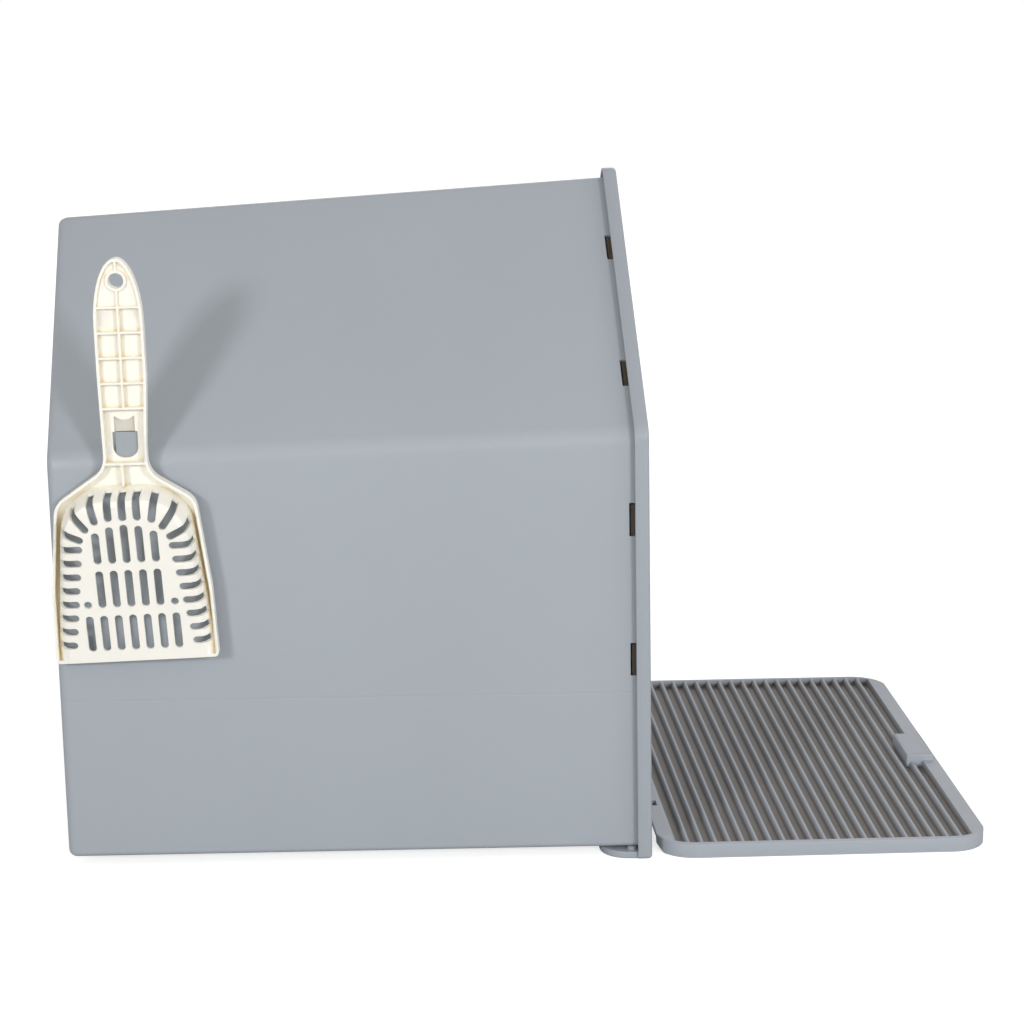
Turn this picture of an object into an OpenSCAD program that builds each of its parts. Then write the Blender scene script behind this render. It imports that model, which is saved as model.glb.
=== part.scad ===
// House-shaped litter box: a one-piece body shell closed by a snap-in front panel, a pull-out
// litter drawer that carries a fold-up step mat, and a scoop hung on the near side wall.
// +X is the front, -Y the side with the scoop, +Z up. The origin is the middle of the base.

/* [Body shell] */
// Length of the body, from the front of the panel's foot to the rear wall
shell_l = 417; // [380:1:460]
// Wall thickness of the body shell
shell_wall = 2.5; // [2:0.1:3.5]
// How far the shell's walls lie inside the front panel's rim
shell_inset = 6; // [5.5:0.1:8]
// Height of the shell's underside above the floor
shell_ground = 7.5; // [7:0.5:12]
// How much narrower each side is at the rear wall
rear_taper = 5.5; // [0:0.5:8]
// Height of the eave at the rear wall
rear_eave = 298; // [270:1:310]
// Height of the ridge at the rear wall, before rounding
rear_ridge = 442; // [425:1:460]
// Outer radius of the eaves
eave_round = 18; // [8:1:30]
// Outer radius of the ridge
ridge_round = 8; // [4:1:16]
// Outer radius of the long bottom edges
foot_round = 4; // [3:0.5:6]
// Radius round the rear wall's edges
rear_round = 6; // [3:0.5:10]
// How far the front panel leans back, in degrees
lean = 1.2; // [0:0.1:1.6]
// How far the rear wall leans back, in degrees
rear_lean = 1.05; // [0:0.05:1.6]

/* [Tray guides] */
// Height of the guard ledges' underside, above the tray's rim
ledge_z = 122.5; // [120:0.5:130]
// Thickness of the guard ledges
ledge_t = 2.5; // [2:0.5:4]
// Distance of the ledges' inner edges from the middle plane
ledge_inner = 176.5; // [174:0.5:179]
// Gap between the ledges' front end and the front of the panel
ledge_front_gap = 22; // [16:1:40]
// Height of the two runners on the shell's floor
runner_h = 1.5; // [1:0.1:3]
// Width of a runner
runner_w = 6; // [4:1:12]
// Distance of each runner from the middle plane
runner_y = 120; // [60:5:150]

/* [Front panel] */
// Width of the front panel
panel_w = 400; // [396:1:420]
// Height of the panel's eaves
panel_eave = 315; // [305:1:330]
// Height of the panel's peak, before rounding
panel_ridge = 478; // [465:1:490]
// Thickness of the panel
panel_t = 3; // [2:0.5:4]
// Depth of the rim round the panel
rim_depth = 10.3; // [8:0.1:14]
// Thickness of the rim
rim_t = 2.5; // [2:0.1:3]
// Radius of the panel's eaves
panel_eave_round = 16; // [8:1:30]
// Radius of the panel's peak
panel_ridge_round = 11; // [6:1:20]
// Radius of the panel's bottom corners
panel_foot_round = 3; // [2:0.5:6]
// Depth of the spigot that enters the shell's mouth, from the panel's front
spigot_depth = 9.8; // [8:0.1:11]
// Thickness of the spigot
spigot_t = 2; // [1.5:0.1:3]
// Gap between pieces that stand face to face
seat_gap = 0.3; // [0.2:0.05:0.5]
// Depth of the foot plate under the shell, from the panel's front
foot_plate_l = 36; // [24:1:60]
// Thickness of the foot plate
foot_plate_t = 5; // [3:0.5:5.5]
// Radius of the foot plate's rear corners
foot_plate_round = 20; // [8:1:30]
// Diameter of the two lugs on the foot plate
lug_d = 7; // [4:0.5:9]

/* [Entry] */
// Width of the entry
entry_w = 220; // [180:2:224]
// Height at which the entry's straight sides end and its arch begins
entry_spring = 314; // [290:1:316]
// Depth of the lip round the entry, behind the panel
entry_lip_depth = 9; // [5:0.5:14]
// Thickness of the lip
entry_lip_t = 2.2; // [1.5:0.1:3]
// Radius of the entry's lower corners
entry_corner = 16; // [8:1:40]

/* [Snap fits] */
// Length of a snap window along the shell's edge
window_l = 24; // [16:1:30]
// Width of a snap window
window_w = 8; // [6:0.5:9]
// Distance of a window's front edge behind the panel's front
window_front = 6; // [5:0.5:7]
// Height of the lower window in each wall
wall_snap_low = 148.5; // [135:0.5:170]
// Height of the upper window in each wall
wall_snap_high = 250.5; // [200:0.5:280]
// Distance of the lower roof window from the eave, up the slope
roof_snap_low = 55.5; // [40:0.5:90]
// Distance of the upper roof window from the eave, up the slope
roof_snap_high = 176; // [130:0.5:200]

/* [Drawer front] */
// Half of the drawer front's width
front_half = 183.2; // [180:0.2:184]
// Height of the drawer front's upper edge
front_top = 121.2; // [118:0.1:126]
// Gap round the drawer front in its opening
front_gap = 0.8; // [0.5:0.1:1.5]
// Radius of the drawer front's corners
front_corner = 5; // [2:0.5:10]
// Width of the finger slot
grip_w = 96; // [70:1:120]
// Height of the finger slot
grip_h = 22; // [18:1:26]
// Height of the finger slot's middle
grip_z = 90; // [70:1:95]

/* [Litter tray] */
// Half of the tray's width at its floor
tray_half_low = 166; // [150:1:168]
// Half of the tray's width under its rim
tray_half_high = 172; // [168:1:173]
// Half of the width across the tray's rim
rim_half = 181; // [179:0.5:182]
// Distance of the tray's front wall behind the panel's front
tray_front = 26; // [22:1:40]
// Gap between the tray's rim and the shell's rear wall
tray_rear_gap = 5; // [2:0.5:12]
// Height of the tray's rim
tray_top = 118.5; // [100:0.5:119]
// Thickness of the tray's rim
tray_rim_t = 3; // [2:0.5:4]
// Wall thickness of the tray
tray_wall = 2.5; // [2:0.1:3.5]
// Radius of the tray's upright corners
tray_round = 34; // [15:1:50]
// How far the tray's front wall leans in between its rim and its floor
tray_draft = 3; // [0:0.5:6]
// Gap between the tray's floor and the runners
runner_gap = 0.3; // [0.2:0.05:0.5]

/* [Step mat] */
// Length of the mat from the body outwards
mat_l = 242; // [220:1:260]
// Width of the mat
mat_w = 400; // [380:1:410]
// Thickness of the mat
mat_t = 10.5; // [9.5:0.5:11]
// Gap between the mat and the front panel
mat_gap = 5.2; // [4.6:0.1:6]
// Radius of the mat's corners
mat_round = 27; // [15:1:40]
// Width of the flat border round the ridges
mat_border = 12; // [9:0.5:16]
// Width of the plain border along the mat's two sides
mat_side = 5; // [4:0.5:12]
// Distance between two ridges
ridge_pitch = 10; // [9.5:0.5:14]
// Distance of the first ridge from the panel's front
ridge_start = 16.7; // [14:0.1:24]
// Width of a ridge at its foot
ridge_foot = 5.6; // [3:0.2:7]
// Width of a ridge at its crest
ridge_crest = 2; // [1:0.2:3]
// Height of the crests
crest_z = 10; // [8:0.5:11]
// Height of the grooves' floor
groove_z = 5; // [4.5:0.5:7]
// Depth of the hollows under the mat
hollow_h = 2; // [1:0.5:2.5]
// Width of the ribs between the hollows under the mat
mat_rib = 4; // [3:0.5:8]
// Length of the latch tab, towards the body
tab_l = 21.2; // [12:0.2:24]
// Width of the latch tab
tab_w = 53; // [30:1:80]
// Height of the latch tab's top above the floor
tab_top = 15.5; // [12:0.5:16]
// Distance of the latch tab from the mat's outer edge
tab_edge = 3.5; // [2:0.5:10]

/* [Mat hinge] */
// Distance of the hinge axis in front of the panel
hinge_x = 9; // [8.8:0.1:9.6]
// Height of the hinge axis
hinge_z = 4.5; // [4.3:0.1:4.8]
// Distance of each hinge ear from the middle plane
ear_y = 110; // [70:1:140]
// Width of a hinge ear
ear_w = 10; // [6:1:16]
// Outer radius of a hinge ear
ear_r = 4.2; // [3.8:0.1:4.2]
// Gap beside and beyond an ear
ear_gap = 0.6; // [0.4:0.1:1]
// Height to which an ear runs up the drawer front
ear_top = 22; // [18:1:40]
// Thickness of an ear's web on the drawer front
ear_web_t = 2.3; // [1.6:0.1:2.3]
// Diameter of a hinge pin
pin_d = 4; // [3:0.1:4]
// Length of a hinge pin
pin_l = 32; // [24:1:50]
// Radial clearance of a pin in its ear
pin_run = 0.07; // [0.03:0.01:0.1]
// Radial clearance of a pin in the mat
pin_seat = 0.02; // [0.01:0.01:0.05]
// Size of the bevel under the mat's hinge edge, which lets it turn
mat_heel = 4.4; // [4.2:0.1:5]
// Thickness of the mat's lip beside its hinges
lip_t = 2; // [1.5:0.1:4]
// Depth of the relief under that lip
lip_depth = 6; // [4:0.5:8]

/* [Scoop] */
// Length of the scoop
scoop_l = 281.6; // [240:0.2:300]
// Width of the scoop's lip
scoop_w = 113.6; // [100:0.2:118]
// Width of the scoop at its shoulders
shoulder_w = 97.2; // [92:0.2:100]
// Height of the shoulders above the lip
shoulder_v = 113.4; // [112:0.2:118]
// Radius of the shoulders
shoulder_r = 15; // [8:1:20]
// Slope of the shoulders towards the neck, in degrees
shoulder_slope = 33; // [25:1:40]
// Half of the scoop's width at the bulge of its sides
bulge_half = 55.4; // [54:0.2:57]
// Height of that bulge above the lip
bulge_v = 50; // [30:1:70]
// Lean of the basket against the handle, in degrees
basket_skew = 1.1; // [0:0.1:1.5]
// Width of the basket's mouth at the lip
basket_w = 111.6; // [100:0.2:112]
// Width of the basket at its top end
basket_top_w = 89.6; // [80:0.2:91]
// Height of the basket's top end above the lip
basket_v = 124.5; // [118:0.5:126]
// Radius of the basket's upper corners
basket_r = 35; // [20:1:40]
// Depth of the basket at the lip
lip_d = 9.4; // [9.2:0.1:12]
// Depth of the basket at its top end
basket_d = 30; // [20:0.5:32]
// How far the basket's wall leans in between its mouth and its floor
basket_lean = 3.5; // [2:0.5:6]
// Radius between the basket's wall and its floor
floor_round = 5; // [3:0.5:7]
// Thickness of the scoop's plastic
scoop_t = 2; // [1.6:0.1:2.4]
// Width of the handle at its neck
neck_w = 30; // [26:0.5:31]
// Width of the handle at its widest
handle_w = 33.4; // [30:0.2:36]
// Height of the neck above the lip
neck_v = 152; // [150:1:154]
// Height at which the handle's round end begins
handle_end_v = 236; // [225:1:240]
// Length of the handle's straight sides below that end
handle_side = 36; // [20:1:50]
// Height of the rim round the scoop and of the handle's ribs
handle_h = 9; // [7:0.5:9]
// Thickness of a rib
rib_t = 1.6; // [1.2:0.1:2]
// Height of the handle's floor between its rungs
handle_floor = 4.5; // [3:0.5:6]
// How far the floor of the handle's tip lies under its rim
tip_drop = 1.5; // [1:0.5:3]
// Distance of the first rung above the neck
rung_first = 26.6; // [25:0.2:30]
// Distance between two rungs
rung_pitch = 17.4; // [15:0.1:17.6]
// Distance of the collar's rib below the neck
collar_drop = 12; // [11:0.5:13]
// Radius of the hollow fillets between the neck and the shoulders
neck_fillet = 16; // [8:1:18]
// Radius of the bulge of the head's sides
bulge_r = 80; // [40:10:120]
// Diameter of the hanging hole
hang_d = 10.6; // [8:0.2:12]
// Distance of the hanging hole from the handle's top
hang_drop = 15.2; // [13:0.2:18]
// Width of the slots in the basket
slot_w = 5.4; // [4:0.2:6]
// Distance of the floor's first row of slots from the lip
row_start = 8.4; // [7:0.2:9]
// Distance between the rows
row_pitch = 32.9; // [32:0.1:33]
// Length of the slots in the first row
row_l = 27; // [24:0.5:27]
// How much longer each next row's slots are
row_growth = 0.9; // [0:0.1:0.9]
// Distance of the two round holes from the lip
hole_v = 44; // [40:1:60]
// Distance of the first side slot from the lip
side_start = 13.6; // [12:0.2:15]
// Distance of the side slots' inner ends from the middle line, at the first
side_inner = 40; // [39:0.5:42]
// How far the slots climb the basket's wall, as a share of its depth
slot_rise = 0.7; // [0.4:0.05:0.75]
// Distance between the slots across the floor
slot_pitch = 10; // [8.6:0.1:10.4]
// Distance between the slots along the sides
side_pitch = 10.3; // [9:0.1:10.6]
// Width of the hook's opening in the handle
clip_w = 17.2; // [16:0.2:18]
// Depth of that opening below the neck
clip_drop = 8.8; // [5:0.2:9]
// Radius of the opening's lower corners
clip_round = 7.6; // [4:0.2:7.8]
// Height of the opening's shoulders above the neck
clip_rise = 9.4; // [9:0.2:13]
// Height of the opening's head above its shoulders
clip_head = 10.6; // [9:0.2:12]
// Radius of the arc that hangs down into the head
clip_arc = 8.6; // [8.6:0.2:10]
// How far that arc hangs down
clip_sag = 2.4; // [1:0.1:4]
// Tilt of the scoop, its top towards the rear, in degrees
scoop_tilt = 1.7; // [0:0.1:3]
// How far the scoop is turned off the wall at its front edge, in degrees
scoop_yaw = 3.4; // [2:0.1:3.6]
// Distance of the scoop's middle from the panel's front, at the lip
scoop_x = 361.5; // [340:0.5:366]
// Height of the scoop's lip above the floor
scoop_z = 157; // [140:1:170]

/* [Scoop hanger] */
// Width of the hanger
hanger_w = 15; // [10:0.5:15]
// Thickness of the hanger
hanger_t = 3; // [2.8:0.1:4]
// Distance of the hanger's lower end under the eave
hanger_drop = 26; // [24:1:60]
// Diameter of the hanger's two studs
stud_d = 5; // [3:0.5:7]
// Clearance round each stud
stud_gap = 0.05; // [0.03:0.01:0.1]

/* [Rear feet] */
// Diameter of a rear foot
foot_d = 24; // [16:1:40]
// Distance of the rear feet from the rear wall
foot_from_rear = 34; // [20:1:80]
// Distance of each rear foot from the middle plane
foot_y = 150; // [60:5:165]
// Diameter of a foot's stem
stem_d = 6; // [4:0.5:10]
// Clearance round a foot's stem
stem_gap = 0.1; // [0.05:0.01:0.2]

/* [Hidden] */
$fn = 48;
arc_steps = 6;
thin = 0.01;
cut = 1;

// Front panel and shell sections: half width, base, eave, ridge
panel_half = panel_w / 2;
panel_section = [panel_half, 0, panel_eave, panel_ridge];
panel_radii = [panel_foot_round, panel_eave_round, panel_ridge_round];
roof_slope = (panel_ridge - panel_eave) / panel_half;
roof_angle = atan(roof_slope);
inset_section = inset_house(panel_section, shell_inset);
mouth_section = [inset_section[0], shell_ground, inset_section[2], inset_section[3]];
shell_radii = [foot_round, eave_round, ridge_round];
rear_section = [mouth_section[0] - rear_taper, shell_ground, rear_eave, rear_ridge];
shell_front = panel_t + seat_gap;
floor_z = shell_ground + shell_wall;
rear_inner = shell_l - shell_wall;

// Drawer
opening_low = floor_z;
// The shell narrows to the rear, so the spigot keeps clear of it at its own rear end
roof_fall = (mouth_section[3] - rear_section[3]) / shell_l;
spigot_gap = seat_gap + spigot_depth * roof_fall * cos(roof_angle);
front_low = opening_low + front_gap;
opening_half = front_half + front_gap;
opening_top = front_top + front_gap;
tray_floor = floor_z + runner_h + runner_gap;
rim_rear = rear_inner - tray_rear_gap;
tray_rear_low = rim_rear - (rim_half - tray_half_low);
tray_rear_high = rim_rear - (rim_half - tray_half_high);
rim_front = panel_t + (tray_top + 4) * tan(lean) + seat_gap;

// Mat and its latch against the entry's sill
mat_x0 = mat_gap;
mat_x1 = mat_gap + mat_l;
tab_x1 = mat_x1 - tab_edge;
tab_x0 = tab_x1 - tab_l;
latch_gap = 1;
entry_sill = hinge_z + (tab_x0 - hinge_x) - latch_gap;
notch_x = hinge_x + ear_r + ear_gap;
ridge_count = floor((mat_x1 - mat_border / 2 - ridge_start) / ridge_pitch) + 1;

// Scoop and hanger
clip_low = neck_v - clip_drop;
clip_shoulder = neck_v + clip_rise;
clip_top = clip_shoulder + clip_head;
hanger_x = scoop_x + clip_shoulder * sin(scoop_tilt);
hook_gap = 2 * seat_gap;
hanger_top = scoop_z + clip_shoulder * cos(scoop_tilt) - hook_gap;
hanger_low = rear_eave - hanger_drop;
tongue_w = clip_w - 1.2;
tongue_t = 2.5;
tongue_drop = 15;
tip_steps = 24;
rung_count = 5;
tip_v = neck_v + rung_first + (rung_count - 1) * rung_pitch;
floor_slope = atan((basket_d - lip_d) / basket_v);
basket_shift = slot_w / 6;
row_counts = [7, 5, 5];
row_arch = slot_w / 4;
side_taper = (scoop_w - shoulder_w) / shoulder_v;
// Fanned slots from beside the middle to the side: inner ends, directions and lengths
fan_u = scoop_w * [0.087, 0.168, 0.22, 0.2525];
fan_v = basket_v * [0.846, 0.829, 0.788, 0.734];
fan_angle = [0, 10.6, 36, 64];
fan_l = basket_r * [0.65, 0.65, 0.62, 0.6];

// The base's middle, which is the origin
rear_face = inset_house(rear_section, rear_round);
rear_peak = rear_face[3] - peak_drop(rear_face, inset_radius(ridge_round, rear_round));
rear_most = shell_l + rear_peak * sin(rear_lean);
origin_x = (mat_x1 - rear_most) / 2;
floor_reach = basket_r - basket_lean - floor_round;
floor_turn = atan(sin(scoop_yaw) / tan(floor_slope));
floor_v = basket_v - basket_r + floor_reach * cos(floor_turn);
floor_u = basket_top_w / 2 - basket_r + floor_reach * sin(floor_turn) - basket_shift
    - floor_v * sin(basket_skew);
scoop_front = wall_half(hanger_x)
    + (hanger_t + seat_gap + lip_d + floor_v * sin(floor_slope)) * cos(scoop_yaw)
    + floor_u * sin(scoop_yaw);
origin_y = (max(panel_half, mat_w / 2) - scoop_front) / 2;

// --- Functions ---------------------------------------------------------------------------

function unit(v) = v / norm(v);
function inset_radius(r, d) = max(r - d, 0.4);

// Half width of the shell's outside at a distance behind the panel's front
function wall_half(x) = mouth_section[0] - rear_taper * x / shell_l;

// A house section moved inwards by d on every side
function inset_house(s, d) =
    let (slope = (s[3] - s[2]) / s[0])
    let (ridge = s[3] - d * sqrt(1 + slope * slope))
    [s[0] - d, s[1] + d, ridge - slope * (s[0] - d), ridge];

// How far a rounded ridge lies under its sharp peak
function peak_drop(s, r) =
    let (angle = atan((s[3] - s[2]) / s[0]))
    r * (1 / cos(angle) - 1);

// Points of an arc of radius r that rounds the corner b between a and c
function corner_arc(a, b, c, r) =
    let (u = unit(a - b), v = unit(c - b))
    let (half = acos(u * v) / 2)
    let (middle = b + unit(u + v) * r / sin(half))
    let (p = b + u * r / tan(half) - middle, q = b + v * r / tan(half) - middle)
    let (from = atan2(p.y, p.x), turn = (atan2(q.y, q.x) - from + 540) % 360 - 180)
    [for (i = [0 : arc_steps])
        let (angle = from + turn * i / arc_steps)
        middle + r * [cos(angle), sin(angle)]];

// A polygon's points with every corner rounded by its own radius
function rounded(points, radii) =
    let (n = len(points))
    [for (i = [0 : n - 1]) each corner_arc(points[(i + n - 1) % n], points[i], points[(i + 1) % n], radii[i])];

// Outline of a house section with its radii at foot, eave and ridge
function house_outline(s, radii) =
    rounded(
        [[-s[0], s[1]], [s[0], s[1]], [s[0], s[2]], [0, s[3]], [-s[0], s[2]]],
        [radii[0], radii[0], radii[1], radii[2], radii[1]]
    );

function inset_radii(radii, d) = [for (r = radii) inset_radius(r, d)];

// --- Placing -----------------------------------------------------------------------------

// From the panel's foot to the shared frame
module place() {
    translate([-origin_x, -origin_y, 0]) children();
}

// Turns what is built upright so that it leans back with the panel
module at_front() {
    rotate([0, -lean, 0]) children();
}

module at_rear() {
    rotate([0, -rear_lean, 0]) children();
}

// A plate between two distances behind the panel's front, from a section in Y and Z
module slab(from, to) {
    translate([-to, 0, 0]) rotate([90, 0, 90]) linear_extrude(to - from) children();
}

module house(s, radii) {
    polygon(house_outline(s, radii));
}

module inset_house_shape(s, radii, d) {
    house(inset_house(s, d), inset_radii(radii, d));
}

module both_sides() {
    children();
    mirror([0, 1, 0]) children();
}

// A block between two corners
module block(low, high) {
    translate(low) cube(high - low);
}

// --- Body shell --------------------------------------------------------------------------

module shell_outer() {
    hull() {
        at_front() slab(shell_front, shell_front + thin) house(mouth_section, shell_radii);
        for (angle = [0, 30, 60, 90])
            translate([-shell_l + rear_round * (1 - sin(angle)), 0, 0])
                at_rear() slab(-thin, 0)
                    inset_house_shape(rear_section, shell_radii, rear_round * (1 - cos(angle)));
    }
}

module shell_inner() {
    hull() {
        at_front() slab(-cut, 0) inset_house_shape(mouth_section, shell_radii, shell_wall);
        translate([-rear_inner, 0, 0])
            at_rear() slab(-thin, 0) inset_house_shape(rear_section, shell_radii, shell_wall);
    }
}

// Places at the eight snap windows: Y runs up along the outline and Z outwards
module at_snaps() {
    at_front() both_sides() {
        for (z = [wall_snap_low, wall_snap_high])
            translate([0, -mouth_section[0], z]) rotate([90, 0, 0]) children();
        for (s = [roof_snap_low, roof_snap_high])
            translate([0, -mouth_section[0] + s * cos(roof_angle), mouth_section[2] + s * sin(roof_angle)])
                rotate([roof_angle, 0, 0]) children();
    }
}

module snap_window() {
    block(
        [-window_front - window_w, -window_l / 2, -3 * shell_wall],
        [-window_front, window_l / 2, 2 * shell_wall]
    );
}

module guard_ledges() {
    both_sides()
        block([-rear_inner - cut, ledge_inner, ledge_z], [-ledge_front_gap, panel_half, ledge_z + ledge_t]);
}

module runners() {
    both_sides()
        block(
            [-rear_inner - cut, runner_y - runner_w / 2, floor_z - cut],
            [-ledge_front_gap, runner_y + runner_w / 2, floor_z + runner_h]
        );
}

module body_shell() {
    color([0.655, 0.69, 0.72]) place() difference() {
        union() {
            difference() {
                shell_outer();
                shell_inner();
            }
            intersection() {
                shell_outer();
                union() {
                    guard_ledges();
                    runners();
                }
            }
        }
        at_snaps() snap_window();
        at_rear_feet() translate([0, 0, shell_ground - cut])
            cylinder(d = stem_d + 2 * stem_gap, h = shell_wall + 2 * cut);
        at_studs() translate([0, 0, -hanger_t]) cylinder(d = stud_d + 2 * stud_gap, h = 4 * hanger_t);
    }
}

// --- Front panel -------------------------------------------------------------------------

module entry_shape() {
    half = entry_w / 2;
    corner = min(entry_corner, half - cut);
    intersection() {
        translate([0, entry_spring]) circle(r = half, $fn = 96);
        translate([-half, entry_spring - thin]) square([2 * half, half + cut]);
    }
    polygon(rounded(
        [[-half, entry_sill], [half, entry_sill], [half, entry_spring], [-half, entry_spring]],
        [corner, corner, thin, thin]
    ));
}

module drawer_opening() {
    polygon(rounded(
        [
            [-opening_half, opening_low], [opening_half, opening_low],
            [opening_half, opening_top], [-opening_half, opening_top]
        ],
        [front_corner, front_corner, front_corner, front_corner]
    ));
}

module house_ring(d, t) {
    difference() {
        inset_house_shape(panel_section, panel_radii, d);
        inset_house_shape(panel_section, panel_radii, d + t);
    }
}

module spigot_shape() {
    inset = shell_wall + spigot_gap;
    difference() {
        inset_house_shape(mouth_section, shell_radii, inset);
        inset_house_shape(mouth_section, shell_radii, inset + spigot_t);
        translate([-opening_half, -cut]) square([2 * opening_half, opening_top + cut]);
    }
}

// Barb that stands in a snap window, behind the window's front edge
module snap_barb() {
    root = -shell_wall - spigot_gap - spigot_t;
    tip = -shell_wall / 3;
    rear = -spigot_depth;
    lead = -window_front - seat_gap;
    translate([0, window_l / 2 - cut, 0]) rotate([90, 0, 0]) linear_extrude(window_l - 2 * cut)
        polygon([[rear, root], [lead, root], [lead, tip], [lead - 1.2, tip], [rear, -shell_wall]]);
}

module foot_plate() {
    r = min(foot_plate_round, foot_plate_l - panel_t);
    linear_extrude(foot_plate_t) polygon(rounded(
        [
            [-foot_plate_l, -panel_half + rim_t], [-panel_t, -panel_half + rim_t],
            [-panel_t, panel_half - rim_t], [-foot_plate_l, panel_half - rim_t]
        ],
        [r, thin, thin, r]
    ));
    both_sides()
        translate([-rim_depth - lug_d / 2, -panel_half + shell_inset + lug_d / 2, 0])
            cylinder(d = lug_d, h = shell_ground - seat_gap / 2);
}

module front_panel() {
    color([0.635, 0.67, 0.7]) place() {
        intersection() {
            block([-shell_l, -panel_w, 0], [rim_depth, panel_w, 2 * panel_ridge]);
            at_front() front_sheet();
        }
        foot_plate();
        at_snaps() snap_barb();
    }
}

// The panel with its rim, spigot and lip, built upright
module front_sheet() {
    slab(0, panel_t) difference() {
        house(panel_section, panel_radii);
        entry_shape();
        drawer_opening();
    }
    slab(panel_t, rim_depth) house_ring(0, rim_t);
    slab(panel_t, spigot_depth) spigot_shape();
    slab(panel_t, panel_t + entry_lip_depth) difference() {
        offset(r = entry_lip_t) entry_shape();
        entry_shape();
    }
}

// --- Rear feet ---------------------------------------------------------------------------

module at_rear_feet() {
    both_sides() translate([-shell_l + foot_from_rear, foot_y, 0]) children();
}

module rear_feet() {
    color([0.2, 0.2, 0.21]) place() at_rear_feet() {
        cylinder(d = foot_d, h = shell_ground - stem_gap);
        translate([0, 0, shell_ground - cut]) cylinder(d = stem_d, h = cut + shell_wall);
    }
}

// --- Drawer ------------------------------------------------------------------------------

// Rounded rectangle in plan: rear and front distances behind the panel's front, and half width
module plan(rear, front, half, r) {
    polygon(rounded([[-rear, -half], [-front, -half], [-front, half], [-rear, half]], [r, r, r, r]));
}

// The tray's tub, moved inwards by d
module tub(d) {
    r = inset_radius(tray_round, d);
    lift = d > 0 ? cut : 0;
    hull() {
        translate([0, 0, tray_floor + d]) linear_extrude(thin)
            plan(tray_rear_low - d, tray_front + tray_draft + d, tray_half_low - d, r);
        translate([0, 0, tray_top - thin + lift]) linear_extrude(thin)
            plan(tray_rear_high - d, tray_front + d, tray_half_high - d, r);
    }
}

module litter_tray() {
    rim_over = rim_half - tray_half_high;
    color([0.58, 0.61, 0.645]) place() difference() {
        union() {
            tub(0);
            translate([0, 0, tray_top - tray_rim_t]) linear_extrude(tray_rim_t) {
                plan(rim_rear, tray_front - rim_over, rim_half, tray_round + rim_over);
                plan(tray_front + 4 * rim_over, rim_front, grip_w / 2 + 6 * rim_over, front_corner);
            }
        }
        tub(tray_wall);
    }
}

module drawer_front_shape() {
    difference() {
        polygon(rounded(
            [
                [-front_half, front_low], [front_half, front_low],
                [front_half, front_top], [-front_half, front_top]
            ],
            [front_corner, front_corner, front_corner, front_corner]
        ));
        hull() for (side = [-1, 1])
            translate([side * (grip_w - grip_h) / 2, grip_z]) circle(d = grip_h, $fn = 32);
    }
}

// Hook that holds the drawer front on the tray's rim: one lip above the rim and one below
module rim_hook() {
    w = grip_w / 4;
    back = rim_front + 8;
    low = tray_top - tray_rim_t - seat_gap;
    high = tray_top + seat_gap;
    translate([0, -w / 2, 0]) {
        block([-back, 0, low - 2], [-rim_front + 2, w, low]);
        block([-back, 0, high], [-rim_front + 2, w, high + 2]);
    }
}

// Distance of the tray's front wall behind the panel's front, at a height
function tub_front(z) = tray_front + tray_draft * (tray_top - z) / (tray_top - tray_floor);

// Post that spaces the drawer front's foot off the tray's front wall
module foot_post() {
    w = 8;
    low = tray_floor + 4;
    high = low + 10;
    block([-tub_front(high) + seat_gap, -w / 2, low], [-panel_t + 1, w / 2, high]);
}

module hinge_ear() {
    back = seat_gap + 0.1;
    translate([0, ear_w / 2, 0]) rotate([90, 0, 0]) difference() {
        linear_extrude(ear_w) union() {
            translate([hinge_x, hinge_z]) circle(r = ear_r);
            translate([back, hinge_z - 3]) square([hinge_x - back, ear_r + 2.6]);
            translate([back, hinge_z]) square([ear_web_t - back, ear_top - hinge_z]);
            translate([-1.2, front_low + 1]) square([2, ear_top - front_low - 1]);
        }
        translate([hinge_x, hinge_z, -cut]) cylinder(d = pin_d + 2 * pin_run, h = ear_w + 2 * cut);
    }
}

module drawer_front() {
    color([0.635, 0.67, 0.7]) place() {
        at_front() slab(0, panel_t) drawer_front_shape();
        both_sides() {
            translate([0, grip_w / 2, 0]) rim_hook();
            translate([0, runner_y, 0]) foot_post();
            translate([0, ear_y, 0]) hinge_ear();
        }
    }
}

// --- Step mat ----------------------------------------------------------------------------

// Rounded rectangle of the mat, moved inwards by d
module mat_plan() {
    polygon(rounded(
        [
            [mat_x0, -mat_w / 2], [mat_x1, -mat_w / 2],
            [mat_x1, mat_w / 2], [mat_x0, mat_w / 2]
        ],
        [mat_round, mat_round, mat_round, mat_round]
    ));
}

module mat_ridges() {
    for (i = [0 : ridge_count - 1])
        translate([ridge_start + i * ridge_pitch, mat_w / 2 - mat_side, groove_z - thin])
            rotate([90, 0, 0]) linear_extrude(mat_w - 2 * mat_side)
                polygon([
                    [-ridge_foot / 2, 0], [ridge_foot / 2, 0],
                    [ridge_crest / 2, crest_z - groove_z], [-ridge_crest / 2, crest_z - groove_z]
                ]);
}

// Hollows under the mat, two deep and four across, between its ribs
module mat_hollows() {
    low_x = notch_x + mat_border;
    step_x = (mat_x1 - mat_border - low_x) / 2;
    step_y = (mat_w - 2 * mat_border) / 4;
    for (i = [0 : 1], j = [0 : 3])
        translate([low_x + i * step_x, -mat_w / 2 + mat_border + j * step_y + mat_rib / 2, -cut])
            cube([step_x - mat_rib, step_y - mat_rib, hollow_h + cut]);
}

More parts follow.
